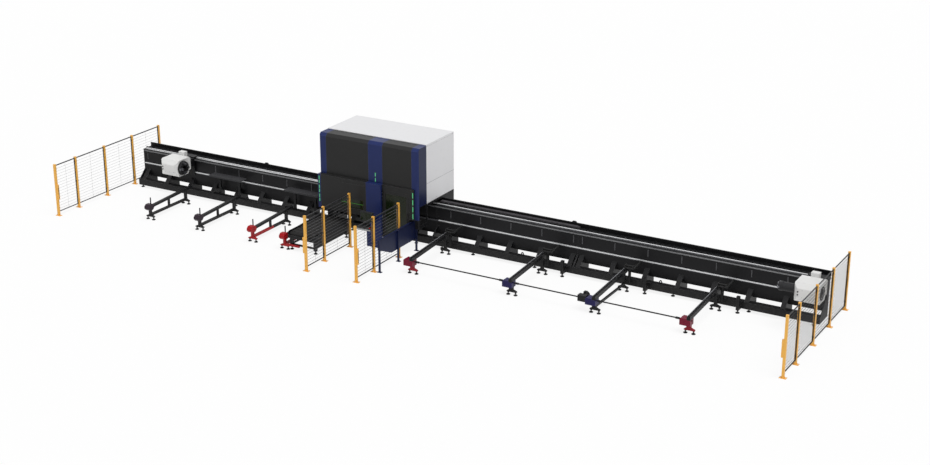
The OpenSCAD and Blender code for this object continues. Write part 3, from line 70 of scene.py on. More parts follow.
# Light of the white surround, and sheen of dark paint
SKY_LIGHT = 0.3
PAINT_SHEEN = 0.2
# How far back and up the red of the unloading arms' low beams goes, and where the stop posts begin,
# in metres
RED_REACH = -0.3
RED_TOP = 0.201
POST_LOW = 0.56
# Which stop, counted from the left and from 0, is the first of those next to the station
NEAR_STOP = 2
# Where the feed end's fence begins, in metres along the line
FEED_END = 10.0
# Height of the seam on the station's cover, as a share of it
SEAM_SHARE = 0.34
# Floor: how far it reaches and how far it lies below the feet, in metres, its paint and its share of glow
FLOOR_REACH = 300.0
FLOOR_DROP = 0.5 * MM
FLOOR_PAINT = (0.95, 0.95, 0.95)
FLOOR_GLOW = 0.86
WHITE = (1.0, 1.0, 1.0)
# Lamps as name, strength, spread in degrees and turn in degrees, and how far the camera sees, in metres
LAMPS = (("key", 2.1, 40, (20, 0, 66)), ("fill", 0.35, 60, (55, 0, -20)))
VIEW_DEPTH = 1000.0
# Ways that faces look; the tubes run along X
LEFT, RIGHT = Vector((-1, 0, 0)), Vector((1, 0, 0))
FRONT, REAR = Vector((0, -1, 0)), Vector((0, 1, 0))
UP = Vector((0, 0, 1))


def mm(*sizes):
    """Sizes in millimetres, as metres."""
    return [size * MM for size in sizes]


# Heads of bolts and screws as radius and height
ANCHOR_BOLT = mm(11, 10)
CLIP_SCREW = mm(5, 4)
RACK_SCREW = mm(7, 7)
JOINT_BOLT = mm(13, 11)
RING_SCREW = mm(6, 5)
CHUCK_SCREW = mm(8, 6)
PLATE_SCREW = mm(6, 4)
COVER_SCREW = mm(6, 3)
REAR_BOLT = mm(8, 6)
BEARING_BOLT = mm(9, 8)
# Screws in a ring round a chuck
SCREWS_AROUND = 12
# Bed sections with a plain rear wall
BEDS = ("outfeed_bed", "infeed_bed_inner", "infeed_bed_outer")


def shade(red, green, blue):
    """A colour as seen on a screen, 0 to 255, as linear values."""
    return tuple(pow(c / 255.0, 2.2) for c in (red, green, blue))


def dim(colour, share):
    """A colour with only a share of its light."""
    return tuple(c * share for c in colour)


class LineColours(bpy.types.PropertyGroup):
    """Paints and lights of the line."""

    bed: bpy.props.FloatVectorProperty(
        name="Bed", description="Paint of beds, arms and feet", subtype="COLOR",
        default=shade(24, 24, 26))
    panel: bpy.props.FloatVectorProperty(
        name="Panels", description="Paint of the dark front panels", subtype="COLOR",
        default=shade(41, 41, 41))
    table: bpy.props.FloatVectorProperty(
        name="Tables", description="Paint of the tilting tables", subtype="COLOR",
        default=shade(57, 57, 59))
    arm: bpy.props.FloatVectorProperty(
        name="Loading arms", description="Paint of the loading arms", subtype="COLOR",
        default=shade(19, 19, 21))
    blue: bpy.props.FloatVectorProperty(
        name="Columns", description="Paint of the blue columns", subtype="COLOR",
        default=shade(34, 46, 94))
    white: bpy.props.FloatVectorProperty(
        name="Cover", description="Paint of the station's white cover", subtype="COLOR",
        default=shade(226, 226, 228))
    chuck: bpy.props.FloatVectorProperty(
        name="Chuck casings", description="Paint of the chuck casings", subtype="COLOR",
        default=shade(224, 224, 223))
    orange: bpy.props.FloatVectorProperty(
        name="Fence posts", description="Paint of the fence posts", subtype="COLOR",
        default=shade(246, 182, 78))
    mesh: bpy.props.FloatVectorProperty(
        name="Fence mesh", description="Paint of the fence panels", subtype="COLOR",
        default=shade(44, 44, 46))
    maroon: bpy.props.FloatVectorProperty(
        name="Outer drive blocks", description="Paint of the first and last drive block", subtype="COLOR",
        default=shade(118, 22, 48))
    navy: bpy.props.FloatVectorProperty(
        name="Inner drive blocks", description="Paint of the two inner drive blocks", subtype="COLOR",
        default=shade(34, 30, 78))
    red: bpy.props.FloatVectorProperty(
        name="Stops", description="Paint of the stops near the station", subtype="COLOR",
        default=shade(166, 14, 25))
    light: bpy.props.FloatVectorProperty(
        name="Light strips", description="Colour of the lit strips", subtype="COLOR",
        default=shade(74, 178, 118))


class LineSizes(bpy.types.PropertyGroup):
    """Sizes of the fine pieces."""

    wire_pitch: bpy.props.FloatProperty(
        name="Wire pitch", description="Distance between upright mesh wires",
        default=0.55, min=0.03, unit="LENGTH")
    close_pitch: bpy.props.FloatProperty(
        name="Close wire pitch", description="Distance between upright wires of the fence at the feed end",
        default=0.05, min=0.03, unit="LENGTH")
    wire_d: bpy.props.FloatProperty(
        name="Wire", description="Width of an upright mesh wire", default=0.002, min=0.001, unit="LENGTH")
    anchor_pitch: bpy.props.FloatProperty(
        name="Anchor pitch", description="Distance between the anchors of a post",
        default=0.15, unit="LENGTH")
    tooth_pitch: bpy.props.FloatProperty(
        name="Tooth pitch", description="Distance between rack teeth",
        default=0.0157, min=0.01, unit="LENGTH")
    plug_pitch: bpy.props.FloatProperty(
        name="Rail plug pitch", description="Distance between the plugs of a rail",
        default=0.12, unit="LENGTH")
    chain_pitch: bpy.props.FloatProperty(
        name="Chain pitch", description="Distance between chain rollers", default=0.03175, unit="LENGTH")


# Frame measures

# Corners that round to the same step count as one; steps in a metre
GRID = 10000


def solids(node):
    """Boxes of a node's solids as (lowest, highest) corners, from left to right, then front to back."""
    mesh = frame["nodes"][node].data
    parent, spot, index = [], {}, []

    def root(i):
        while parent[i] != i:
            parent[i] = parent[parent[i]]
            i = parent[i]
        return i

    for v in mesh.vertices:
        key = tuple(round(c * GRID) for c in v.co)
        if key not in spot:
            spot[key] = len(parent)
            parent.append(len(parent))
        index.append(spot[key])
    for p in mesh.polygons:
        for v in p.vertices[1:]:
            parent[root(index[v])] = root(index[p.vertices[0]])
    boxes = {}
    for v, i in zip(mesh.vertices, index):
        lo, hi = boxes.setdefault(root(i), (v.co.copy(), v.co.copy()))
        for k in range(3):
            lo[k] = min(lo[k], v.co[k])
            hi[k] = max(hi[k], v.co[k])
    return sorted(boxes.values(), key=lambda b: (round(b[0].x, 2), round(b[0].y, 2)))


def middle(lo, hi):
    """Centre of a box."""
    return (lo + hi) / 2


def end_x(box, way):
    """Where a box ends to the left or to the right."""
    return box[1].x if way is RIGHT else box[0].x


def rail_bars():
    """Boxes of the lower rail, the rack and the upper rail."""
    return sorted(solids("guide_rails"), key=lambda b: b[0].z)


def steps(start, end, pitch):
    """Even places from start to end, about one pitch apart."""
    count = max(1, round((end - start) / pitch))
    return [start + (end - start) * i / count for i in range(count + 1)]


def around(centre, radius):
    """Places for a ring of screws about an axis along X."""
    turns = [math.tau * (i + 0.5) / SCREWS_AROUND for i in range(SCREWS_AROUND)]
    return [centre + Vector((0, math.cos(a), math.sin(a))) * radius for a in turns]


# Shader graphs

class Value:
    """A shader value. Arithmetic on it adds Math nodes to its graph."""

    def __init__(self, graph, socket):
        self.graph = graph
        self.socket = socket

    def _math(self, operation, a, b=0.0, clamp=False):
        return self.graph.node("ShaderNodeMath", {"operation": operation, "use_clamp": clamp}, {0: a, 1: b})

    def __add__(self, other):
        return self._math("ADD", self, other)

    __radd__ = __add__

    def __sub__(self, other):
        return self._math("SUBTRACT", self, other)

    def __rsub__(self, other):
        return self._math("SUBTRACT", other, self)

    def __mul__(self, other):
        return self._math("MULTIPLY", self, other)

    __rmul__ = __mul__

    def __truediv__(self, other):
        return self._math("DIVIDE", self, other)

    def __rtruediv__(self, other):
        return self._math("DIVIDE", other, self)

    def __gt__(self, other):
        return self._math("GREATER_THAN", self, other)

    def __lt__(self, other):
        return self._math("LESS_THAN", self, other)

    def clamp(self):
        """The value held between 0 and 1."""
        return self._math("ADD", self, 0.0, True)

    def power(self, exponent):
        """The value raised to a power."""
        return self._math("POWER", self, exponent)

    def sine(self):
        """The sine of the value."""
        return self._math("SINE", self)


class Graph:
    """A node tree and the nodes that are added to it."""

    def __init__(self, tree):
        self.tree = tree

    def node(self, kind, settings=None, sockets=None, out=0):
        """Adds a node, sets it up, feeds its sockets and returns one of its outputs."""
        made = self.tree.nodes.new(kind)
        for key, value in (settings or {}).items():
            setattr(made, key, value)
        for key, value in (sockets or {}).items():
            self.feed(made.inputs[key], value)
        return Value(self, made.outputs[out])

    def feed(self, socket, value):
        """Links a value to a socket, or writes a plain number or colour there."""
        if isinstance(value, Value):
            self.tree.links.new(value.socket, socket)
        elif hasattr(value, "__len__") and len(value) == 3 and len(socket.default_value) == 4:
            socket.default_value = (*value, 1.0)
        else:
            socket.default_value = value

    def seen(self):
        """1 for rays from the camera, from glossy surfaces and through glass."""
        ways = [self.node("ShaderNodeLightPath", None, None, out=f"Is {way} Ray")
                for way in ("Camera", "Glossy", "Transmission")]
        return (ways[0] + ways[1] + ways[2]).clamp()


# Materials by the name of their finish
MADE = {}


class Finish(Graph):
    """One material and the nodes that make it."""

    def __init__(self, name):
        self.material = bpy.data.materials.new(name)
        self.material.use_nodes = True
        super().__init__(self.material.node_tree)
        self.shader = self.tree.nodes["Principled BSDF"]
        self.place = self.node("ShaderNodeTexCoord", out="Object")
        MADE[name] = self.material

    def set(self, **sockets):
        """Feeds the shader's own sockets; spaces in their names are written as underscores."""
        for key, value in sockets.items():
            self.feed(self.shader.inputs[key.replace("_", " ")], value)

    def mix(self, factor, a, b):
        """Colour a, turning into colour b as the factor rises."""
        return self.node("ShaderNodeMix", {"data_type": "RGBA"}, {0: factor, 6: a, 7: b}, out=2)

    def noise(self, scale, detail=2.0, stretch=None):
        """Noise from 0 to 1 over the part's own place; scale is in features a metre."""
        place = self.place
        if stretch:
            place = self.node("ShaderNodeVectorMath", {"operation": "MULTIPLY"}, {0: place, 1: stretch})
        return self.node("ShaderNodeTexNoise", None, {"Vector": place, "Scale": scale, "Detail": detail})

    def along(self, axis):
        """The place along X, Y or Z, in metres."""
        return self.node("ShaderNodeSeparateXYZ", None, {0: self.place}, out=axis)

    def between(self, axis, low, high):
        """1 between two places along an axis, 0 outside."""
        place = self.along(axis)
        return (place > low) * (place < high)

    def edges(self, radius):
        """A mask that is 1 on sharp outer and inner edges."""
        soft = self.node("ShaderNodeBevel", {"samples": 4}, {"Radius": radius})
        true = self.node("ShaderNodeNewGeometry", None, None, out="Normal")
        dot = {"operation": "DOT_PRODUCT"}
        facing = self.node("ShaderNodeVectorMath", dot, {0: soft, 1: true}, out="Value")
        return ((1.0 - facing) * EDGE_GAIN).clamp()

    def bump(self, height, distance, strength):
        """Normals of a height, in metres."""
        sockets = {"Strength": strength, "Distance": distance, "Height": height}
        return self.node("ShaderNodeBump", None, sockets)


# Finishes

# How quickly a pale edge shows, and the tones of clouding, of pale edges (worn paint with a painted
# highlight) and of dust on dark paint
EDGE_GAIN = 5.0
CLOUD = shade(18, 18, 20)
EDGE_WEAR_HIGHLIGHT = shade(168, 168, 170)
DUST = shade(150, 146, 140)
# How high dust from the floor and scrapes on the posts reach, and how deep the peel of paint is, in metres
DUST_TOP = 0.6
SCRAPE_TOP = 0.5
PEEL = 0.25 * MM
PALE_PEEL = 0.2 * MM


def sprayed(f, colour, rough=0.42, edge_wear_highlight=0.25, dust=0.0):
    """Sprayed paint: faint clouding, fine peel, paler edges that are wear and a painted highlight, and dust
    near the floor.
    """
    cloud = f.noise(0.9, 3.0)
    mottle = f.noise(11.0, 4.0)
    edge = f.edges(0.006)
    tone = f.mix((cloud * 0.6 + mottle * 0.4 - 0.35).clamp() * 0.5, colour, CLOUD)
    # Paler edges: worn paint together with a painted highlight where the edges catch the light
    tone = f.mix(edge * edge_wear_highlight, tone, EDGE_WEAR_HIGHLIGHT)
    if dust:
        low = (1.0 - f.along("Z") / DUST_TOP).clamp()
        specks = (f.noise(14.0, 5.0) - 0.35).clamp()
        tone = f.mix(low * specks * dust, tone, DUST)
    dull = rough + (cloud - 0.5) * 0.14 + (mottle - 0.5) * 0.1 + edge * 0.05
    f.set(Base_Color=tone, Roughness=dull, Specular_IOR_Level=PAINT_SHEEN,
          Normal=f.bump(f.noise(420.0, 1.0), PEEL, 0.35))


def pale_paint(f, colour, rough=0.36):
    """Pale sprayed paint: hardly any clouding, grey in the corners, fine peel."""
    cloud = f.noise(0.7, 3.0)
    scuff = (f.noise(7.0, 6.0) - 0.56).clamp()
    tone = f.mix(cloud * 0.16, colour, dim(colour, 0.84))
    tone = f.mix(scuff * 0.6, tone, shade(196, 195, 192))
    tone = f.mix(f.edges(0.005) * 0.22, tone, shade(178, 178, 178))
    f.set(Base_Color=tone, Roughness=rough + (cloud - 0.5) * 0.1 + scuff * 0.3,
          Normal=f.bump(f.noise(380.0, 1.0), PALE_PEEL, 0.3))


def ground_steel(f, colour, along=(2.0, 260.0, 260.0), rough=0.3, dark=None, metal=1.0):
    """Ground steel with fine streaks; dark, if given, rises to 1 where painted shade darkens it."""
    streak = f.noise(3.0, 4.0, along)
    stain = f.noise(1.7, 3.0)
    tone = f.mix(streak, dim(colour, 0.78), colour)
    tone = f.mix((stain - 0.55).clamp() * 0.8, tone, dim(colour, 0.55))
    if dark:
        # Painted shade: the steel turns dark grey where dark rises
        tone = f.mix(dark, tone, shade(66, 66, 70))
    f.set(Base_Color=tone, Metallic=metal, Roughness=rough + streak * 0.16,
          Normal=f.bump(streak, 0.0002, 0.3))


def bed_paint(f, c):
    """Satin black of beds, feet and saddles; the upright stiffeners on the rail wall are brighter, a
    painted highlight.
    """
    lower, rack, _ = rail_bars()
    stiffener = 12 * MM
    face = lower[1].y - stiffener
    # Front faces of the stiffeners painted paler: a painted highlight where they catch the light
    stiffener_highlight = f.between("Y", face - MM, face + MM) * f.between("Z", lower[1].z, rack[0].z)
    sprayed(f, f.mix(stiffener_highlight, c.bed, shade(84, 84, 87)), rough=0.46, edge_wear_highlight=0.3, dust=0.2)


def loader_paint(f, c):
    """Black arms; the front legs of the first and the last are red."""
    blocks = solids("loader_blocks")
    lo, hi = blocks[0]
    legs = (f.along("Y") < hi.y) * (f.along("Z") < lo.z + 5 * MM)
    reach = 500 * MM
    inner = f.between("X", blocks[1][0].x - reach, blocks[2][1].x + reach)
    red = tuple((a + b) / 2 for a, b in zip(c.maroon, c.red))
    sprayed(f, f.mix(legs * (1.0 - inner), c.arm, red), dust=0.15)


def unloader_paint(f, c):
    """Black arms; the two next to the station have red front stands."""
    lo, hi = solids("stop_blocks")[NEAR_STOP]
    y, z = f.along("Y"), f.along("Z")
    stand = (y < hi.y) * (z < lo.z + 5 * MM)
    beam = (y < RED_REACH) * (z < RED_TOP)
    near = f.along("X") > lo.x - 200 * MM
    sprayed(f, f.mix(near * (stand + beam).clamp(), c.bed, c.red), dust=0.2)


def shaft_black(f, c):
    """Blackened steel, brighter on its edges: a painted highlight."""
    grain = f.noise(90.0, 4.0, (0.1, 1.0, 1.0))
    tone = f.mix(grain, shade(14, 14, 16), shade(32, 32, 34))
    # Paler edges: a painted highlight
    tone = f.mix(f.edges(0.003) * 0.5, tone, shade(110, 110, 114))
    f.set(Base_Color=tone, Metallic=0.2, Specular_IOR_Level=0.3, Roughness=0.4 + grain * 0.2,
          Normal=f.bump(grain, 0.0002, 0.3))


def rail_steel(f, c):
    """Bright ground rails; the rack, the rails' feet and the lower rail in the station are darker, painted
    shade.
    """
    lower, rack, upper = rail_bars()
    left, right = (v.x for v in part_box("cutting_base"))
    foot = f.between("Z", upper[0].z - MM, middle(*upper).z) * f.between("X", left, upper[1].x + MM)
    heel = f.between("Z", lower[0].z - MM, middle(*lower).z)
    teeth = f.between("Z", rack[0].z - MM, rack[1].z + MM)
    inside = f.between("Z", lower[0].z - MM, lower[1].z + MM) * f.between("X", left, right + 80 * MM)
    # Painted shade: the rails' lower halves, the rack under the flange, and the lower rail in the station's
    # shadow
    dark = (foot + heel + teeth * 0.7 + inside).clamp()
    ground_steel(f, shade(240, 241, 243), rough=0.22, dark=dark, metal=0.45)


def jaw_steel(f, c):
    """Dark hardened steel of the jaws and screws."""
    ground_steel(f, shade(124, 125, 129), along=(90.0, 90.0, 90.0), rough=0.34)


def carriage_alu(f, c):
    """Milled aluminium of the head's slide."""
    ground_steel(f, shade(214, 215, 217), along=(60.0, 60.0, 4.0), rough=0.38)


def chain_plastic(f, c):
    """Moulded nylon with a fine grain."""
    grain = f.noise(900.0, 2.0)
    tone = f.mix(f.noise(6.0), shade(56, 54, 57), shade(78, 76, 79))
    f.set(Base_Color=tone, Roughness=0.55 + grain * 0.15, Specular_IOR_Level=PAINT_SHEEN,
          Normal=f.bump(grain, 0.0003, 0.4))


def chuck_white(f, c):
    """White enamel of the chuck casings."""
    pale_paint(f, c.chuck, rough=0.32)


def chuck_dark(f, c):
    """Blackened iron with turned rings around the chuck axis and a painted highlight on its edges."""
    centre = middle(*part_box("outfeed_chuck"))
    across = f.along("Y") - centre.y
    up = f.along("Z") - centre.z
    radius = (across * across + up * up).power(0.5)
    turns = 2600.0
    ring = (radius * turns).sine()
    grain = f.noise(160.0, 3.0)
    tone = f.mix(grain, shade(22, 22, 24), shade(46, 46, 48))
    # Paler edges: a painted highlight
    tone = f.mix(f.edges(0.004) * 0.4, tone, shade(96, 96, 100))
    f.set(Base_Color=tone, Metallic=0.25, Specular_IOR_Level=0.3, Roughness=0.4 + grain * 0.14,
          Normal=f.bump(ring, 0.00012, 0.3))


def panel_grey(f, c):
    """Dark grey powder coat of the front panels."""
    sprayed(f, c.panel, rough=0.44, edge_wear_highlight=0.22)


def table_grey(f, c):
    """Dark grey powder coat of the tilting tables."""
    sprayed(f, c.table, rough=0.46, edge_wear_highlight=0.3)


def cover_white(f, c):
    """White powder coat of the station's cover."""
    pale_paint(f, c.white, rough=0.4)


def hood_blue(f, c):
    """Blue powder coat; the guard panel and the station's right-hand side are darker, painted shade."""
    low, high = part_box("guard_panel")
    pad = 50 * MM
    guard = f.between("Y", low.y - pad, high.y + pad) * f.between("Z", 0.0, high.z + pad)
    guard = guard * f.between("X", low.x - pad, high.x + pad)
    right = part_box("front_frame")[1].x
    side = f.between("X", right - MM, right + MM)
    # Painted shade: the guard panel and the station's right-hand side darkened
    tone = f.mix((guard + side).clamp(), c.blue, dim(c.blue, 0.45))
    sprayed(f, tone, rough=0.38, edge_wear_highlight=0.2)


def bridge_grey(f, c):
    """Grey primer of the inner bridge and of small fittings; on the loading arms' strips the same grey is a
    painted highlight.
    """
    sprayed(f, shade(146, 147, 151), rough=0.5, edge_wear_highlight=0.2)


def fence_orange(f, c):
    """Yellow-orange powder coat of the fence posts and the curtain caps, with a painted highlight on the
    edges.
    """
    cloud = f.noise(5.0, 3.0)
    tone = f.mix(cloud * 0.25, c.orange, dim(c.orange, 0.8))
    # Lighter edges: a painted highlight
    tone = f.mix(f.edges(0.004) * 0.3, tone, shade(250, 206, 128))
    scrape = (1.0 - f.along("Z") / SCRAPE_TOP).clamp() * (f.noise(60.0, 5.0) - 0.5).clamp()
    tone = f.mix(scrape * 1.6, tone, shade(112, 86, 50))
    f.set(Base_Color=tone, Roughness=0.36 + cloud * 0.12,
          Normal=f.bump(f.noise(420.0, 1.0), PALE_PEEL, 0.35))


def mesh_black(f, c):
    """Dark grey coat of the fence; its level wires are paler the further they stand from the feed end."""
    tone, half = c.mesh, 3.2 * MM
    for x in sorted({round(middle(*b).x, 3) for b in solids("fence_panels")}):
        if x < FEED_END:
            wire = shade(190, 190, 191) if x < -FEED_END else shade(100, 100, 102)
            tone = f.mix(f.between("X", x - half, x + half), tone, wire)
    sprayed(f, tone, rough=0.45, edge_wear_highlight=0.1)


def block_maroon(f, c):
    """Drive blocks: the outer two dark red, the inner two dark blue."""
    blocks = solids("loader_blocks")
    reach = 100 * MM
    inner = f.between("X", blocks[1][0].x - reach, blocks[2][1].x + reach)
    sprayed(f, f.mix(inner, c.maroon, c.navy), rough=0.36, edge_wear_highlight=0.2)


def stop_red(f, c):
    """Stops: the two next to the station red, the others dark, all with black posts."""
    first = solids("stop_blocks")[NEAR_STOP][0].x
    tone = f.mix(f.along("X") > first - 100 * MM, shade(46, 34, 44), c.red)
    tone = f.mix(f.along("Z") > POST_LOW, tone, shade(40, 40, 44))
    sprayed(f, tone, rough=0.36, edge_wear_highlight=0.2)


def belt_rubber(f, c):
    """Dark rubber of the belt and the gaskets, with a fine crosswise weave."""
    threads = 900.0
    weave = (f.along("X") * threads).sine() * (f.along("Y") * threads).sine()
    scuff = f.noise(9.0, 4.0, (0.3, 2.0, 1.0))
    tone = f.mix(scuff, shade(28, 28, 29), shade(48, 47, 46))
    f.set(Base_Color=tone, Roughness=0.7 + scuff * 0.15, Specular_IOR_Level=PAINT_SHEEN,
          Normal=f.bump(weave, 0.0004, 0.4))


def tinted_glass(f, c):
    """Laser safety glass: dark, faintly green, with smears."""
    smear = f.noise(5.0, 4.0, (1.0, 1.0, 0.4))
    tone = f.mix(smear, shade(22, 30, 20), shade(32, 40, 22))
    f.set(Base_Color=tone, Roughness=0.12 + smear * 0.12, Specular_IOR_Level=0.25)


def led_green(f, c):
    """Lit diffuser strips; the level one is darker."""
    glow = f.noise(30.0, 2.0)
    lo, hi = min(solids("led_strips"), key=lambda b: b[1].z - b[0].z)
    pad = 10 * MM
    level = f.between("X", lo.x - pad, hi.x + pad) * f.between("Z", lo.z - pad, hi.z + pad)
    lit = f.mix(level, f.mix(glow, c.light, shade(120, 214, 160)), shade(58, 132, 30))
    f.set(Base_Color=f.mix(level, c.light, shade(40, 90, 24)), Roughness=0.4,
          Emission_Color=lit, Emission_Strength=0.28)


def console_black(f, c):
    """Moulded and powder-coated console housing; the front edge of its tray is bare, and its edges carry a
    painted highlight.
    """
    grain = f.noise(700.0, 2.0)
    tone = f.mix(f.noise(2.0, 3.0), shade(36, 37, 38), shade(50, 51, 52))
    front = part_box("console")[0]
    lip_t, lip_h = mm(6, 60)
    lip = f.between("Y", front.y - MM, front.y + lip_t) * f.between("Z", front.z - MM, front.z + lip_h)
    tone = f.mix(lip, tone, shade(178, 180, 182))
    # Paler edges: a painted highlight
    tone = f.mix(f.edges(0.004) * 0.3, tone, shade(96, 96, 100))
    f.set(Base_Color=tone, Roughness=0.48 + grain * 0.14, Specular_IOR_Level=PAINT_SHEEN,
          Normal=f.bump(grain, 0.00025, 0.4))


def button_red(f, c):
    """Glossy moulded button."""
    tone = f.mix(f.noise(60.0), shade(176, 16, 18), shade(206, 24, 24))
    f.set(Base_Color=tone, Roughness=0.2 + f.noise(90.0) * 0.1, Coat_Weight=0.5)


# Every finish of the frame and the pieces; its function gives it its name
CAD_FINISHES = [
    bed_paint, loader_paint, unloader_paint, shaft_black, rail_steel, chain_plastic, chuck_white,
    chuck_dark, jaw_steel, panel_grey, table_grey, block_maroon, stop_red, belt_rubber, cover_white,
    hood_blue, tinted_glass, led_green, bridge_grey, carriage_alu, console_black, button_red,
    fence_orange, mesh_black,
]


# Mesh building

# An edge lies square to an axis when it runs along it by less than this
SQUARE = 1e-6


class Shape:
    """Plain solids gathered in one mesh, then turned into one piece of the line."""

    def __init__(self):
        self.bm = bmesh.new()

    def _bevel(self, made, width, flat_to=None):
        """Rounds the edges of a new solid, or only those square to an axis."""
        edges = {e for v in made["verts"] for e in v.link_edges}
        if flat_to:
            edges = {e for e in edges if abs((e.verts[0].co - e.verts[1].co) @ flat_to) < SQUARE}
        bmesh.ops.bevel(self.bm, geom=list(edges), offset=width, segments=2, profile=0.6, affect="EDGES")

    def box(self, lo, hi, bevel=0.0, turn=None):
        """A box between two corners, with rounded edges if asked, turned about its middle."""
        lo, hi = Vector(lo), Vector(hi)
        size = Matrix.Diagonal((*(hi - lo), 1.0))
        move = Matrix.Translation((lo + hi) / 2)
        made = bmesh.ops.create_cube(self.bm, size=1.0, matrix=move @ (turn or Matrix()) @ size)
        if bevel:
            self._bevel(made, bevel)

    def rod(self, start, end, radius, sides, tip=None, bevel=0.0):
        """A round or many-sided bar from start to end; tip is the radius there if it tapers."""
        start, end = Vector(start), Vector(end)
        way = end - start
        turn = way.to_track_quat("Z", "Y").to_matrix().to_4x4()
        made = bmesh.ops.create_cone(
            self.bm, cap_ends=True, segments=sides, radius1=radius, radius2=radius if tip is None else tip,
            depth=way.length, matrix=Matrix.Translation((start + end) / 2) @ turn)
        if bevel:
            self._bevel(made, bevel, flat_to=way)

    def ring(self, centre, axis, inner, outer, length, sides):
        """A flat ring that starts at a point and runs along an axis."""
        turn = axis.to_track_quat("Z", "Y").to_matrix()
        loops = []
        for radius, at in ((inner, 0.0), (outer, 0.0), (outer, length), (inner, length)):
            loop = []
            for i in range(sides):
                a = math.tau * i / sides
                loop.append(self.bm.verts.new(
                    Vector(centre) + turn @ Vector((radius * math.cos(a), radius * math.sin(a), at))))
            loops.append(loop)
        for here, there in zip(loops, loops[1:] + loops[:1]):
            for i in range(sides):
                j = (i + 1) % sides
                self.bm.faces.new((here[i], here[j], there[j], there[i]))

    def prism(self, outline, start, end):
        """An outline of points, drawn out from start to end."""
        rims = [[self.bm.verts.new(Vector(p) + Vector(at)) for p in outline] for at in (start, end)]
        count = len(outline)
        for i in range(count):
            j = (i + 1) % count
            self.bm.faces.new((rims[0][i], rims[0][j], rims[1][j], rims[1][i]))
        self.bm.faces.new(rims[0])
        self.bm.faces.new(rims[1])
        return self

    def bolt(self, seat, axis, radius, height):
        """A hexagon bolt head on its washer."""
        seat, washer = Vector(seat), height * 0.22
        self.rod(seat, seat + axis * washer, radius * 1.35, sides=14)
        self.rod(seat + axis * washer, seat + axis * (washer + height), radius, sides=6)

    def screw(self, seat, axis, radius, height):
        """A socket screw: a round head with a sunk socket."""
        seat, top = Vector(seat), Vector(seat) + axis * height
        self.rod(seat, top, radius, sides=14)
        self.ring(top, axis, radius * 0.5, radius * 0.92, height * 0.18, sides=14)

    def piece(self, name, slot, body):
        """Turns what was gathered into an object that rides on a body."""
        bmesh.ops.recalc_face_normals(self.bm, faces=self.bm.faces)
        mesh = bpy.data.meshes.new(name)
        self.bm.to_mesh(mesh)
        self.bm.free()
        for p in mesh.polygons:
            p.use_smooth = True
        mesh.set_sharp_from_angle(angle=SMOOTH_ANGLE)
        mesh.materials.append(MADE[slot])
        made = bpy.data.objects.new(name, mesh)
        bpy.context.scene.collection.objects.link(made)
        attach(made, body)


# Operators

class Build:
    """What every operator of the line shares."""

    bl_options = {"REGISTER", "UNDO"}


class LASERLINE_OT_finishes(Build, bpy.types.Operator):
    """Make the finishes and give them to the frame's nodes"""

    bl_idname = "laserline.finishes"
    bl_label = "Finishes"

    def execute(self, context):
        for make in CAD_FINISHES:
            make(Finish(make.__name__), context.scene.laserline_colours)
        for part in frame["record"]["subparts"]:
            slots = frame["nodes"][part["node"]].data.materials
            slots.clear()
            slots.append(MADE[part["material_slot"]])
        return {"FINISHED"}


class LASERLINE_OT_fence_mesh(Build, bpy.types.Operator):
    """Weave the upright wires into the fence panels"""

    bl_idname = "laserline.fence_mesh"
    bl_label = "Fence mesh"

    def execute(self, context):
        sizes = context.scene.laserline_sizes
        bar, beside = mm(25, 4.4)
        half, deep = sizes.wire_d / 2, sizes.wire_d * 0.75
        for i, (lo, hi) in enumerate(solids("fence_panels")):
            wires = Shape()
            x = middle(lo, hi).x + beside
            pitch = sizes.close_pitch if x > FEED_END else sizes.wire_pitch
            for y in steps(lo.y + bar, hi.y - bar, pitch)[1:-1]:
                wires.box((x - deep, y - half, lo.z + bar - half), (x + deep, y + half, hi.z - bar + half))
            wires.piece(f"fence_wires_{i + 1}", "mesh_black", "base")
        return {"FINISHED"}


class LASERLINE_OT_fence_fixings(Build, bpy.types.Operator):
    """Bolt the fence posts down and clip the panels to them"""

    bl_idname = "laserline.fence_fixings"
    bl_label = "Fence fixings"

    def execute(self, context):
        pitch = context.scene.laserline_sizes.anchor_pitch
        plate_top, stud_r, stud_h = mm(12, 6, 24)
        anchors = Shape()
        for lo, hi in solids("fence_posts"):
            centre = middle(lo, hi)
            for side in (-1, 1):
                seat = Vector((centre.x + side * pitch / 2, centre.y, plate_top))
                anchors.bolt(seat, UP, *ANCHOR_BOLT)
                anchors.rod(seat, seat + UP * stud_h, stud_r, sides=12)
        anchors.piece("fence_anchors", "rail_steel", "base")
        clips = Shape()
        half = Vector(mm(20, 26, 22.5))
        for lo, hi in solids("fence_panels"):
            for share in (0.08, 0.5, 0.92):
                for y in (lo.y, hi.y):
                    at = Vector((middle(lo, hi).x, y, lo.z + (hi.z - lo.z) * share))
                    clips.box(at - half, at + half, bevel=2 * MM)
                    for way in (LEFT, RIGHT):
                        clips.screw(at + way * half.x, way, *CLIP_SCREW)
        clips.piece("fence_clips", "mesh_black", "base")
        return {"FINISHED"}


class LASERLINE_OT_light_curtains(Build, bpy.types.Operator):
    """Give the light curtains their lenses, end caps and bands"""

    bl_idname = "laserline.light_curtains"
    bl_label = "Light curtains"

    def execute(self, context):
        inset, lens_t, lens_end = mm(14, 2, 40)
        cap, band_at, band_h, lip = mm(18, 90, 26, 3)
        lenses, caps = Shape(), Shape()
        for i, (lo, hi) in enumerate(solids("light_curtains")):
            left, right = (lo.x - lens_t, lo.x) if i % 2 else (hi.x, hi.x + lens_t)
            lenses.box((left, lo.y + inset, lo.z + lens_end), (right, hi.y - inset, hi.z - lens_end))
            for z in (lo.z - cap, hi.z):
                caps.box((lo.x, lo.y, z), (hi.x, hi.y, z + cap), bevel=3 * MM)
            for z in (lo.z + band_at, hi.z - band_at):
                caps.box((lo.x - lip, lo.y - lip, z), (hi.x + lip, hi.y + lip, z + band_h), bevel=2 * MM)
        lenses.piece("curtain_lenses", "tinted_glass", "base")
        caps.piece("curtain_caps", "fence_orange", "base")
        return {"FINISHED"}


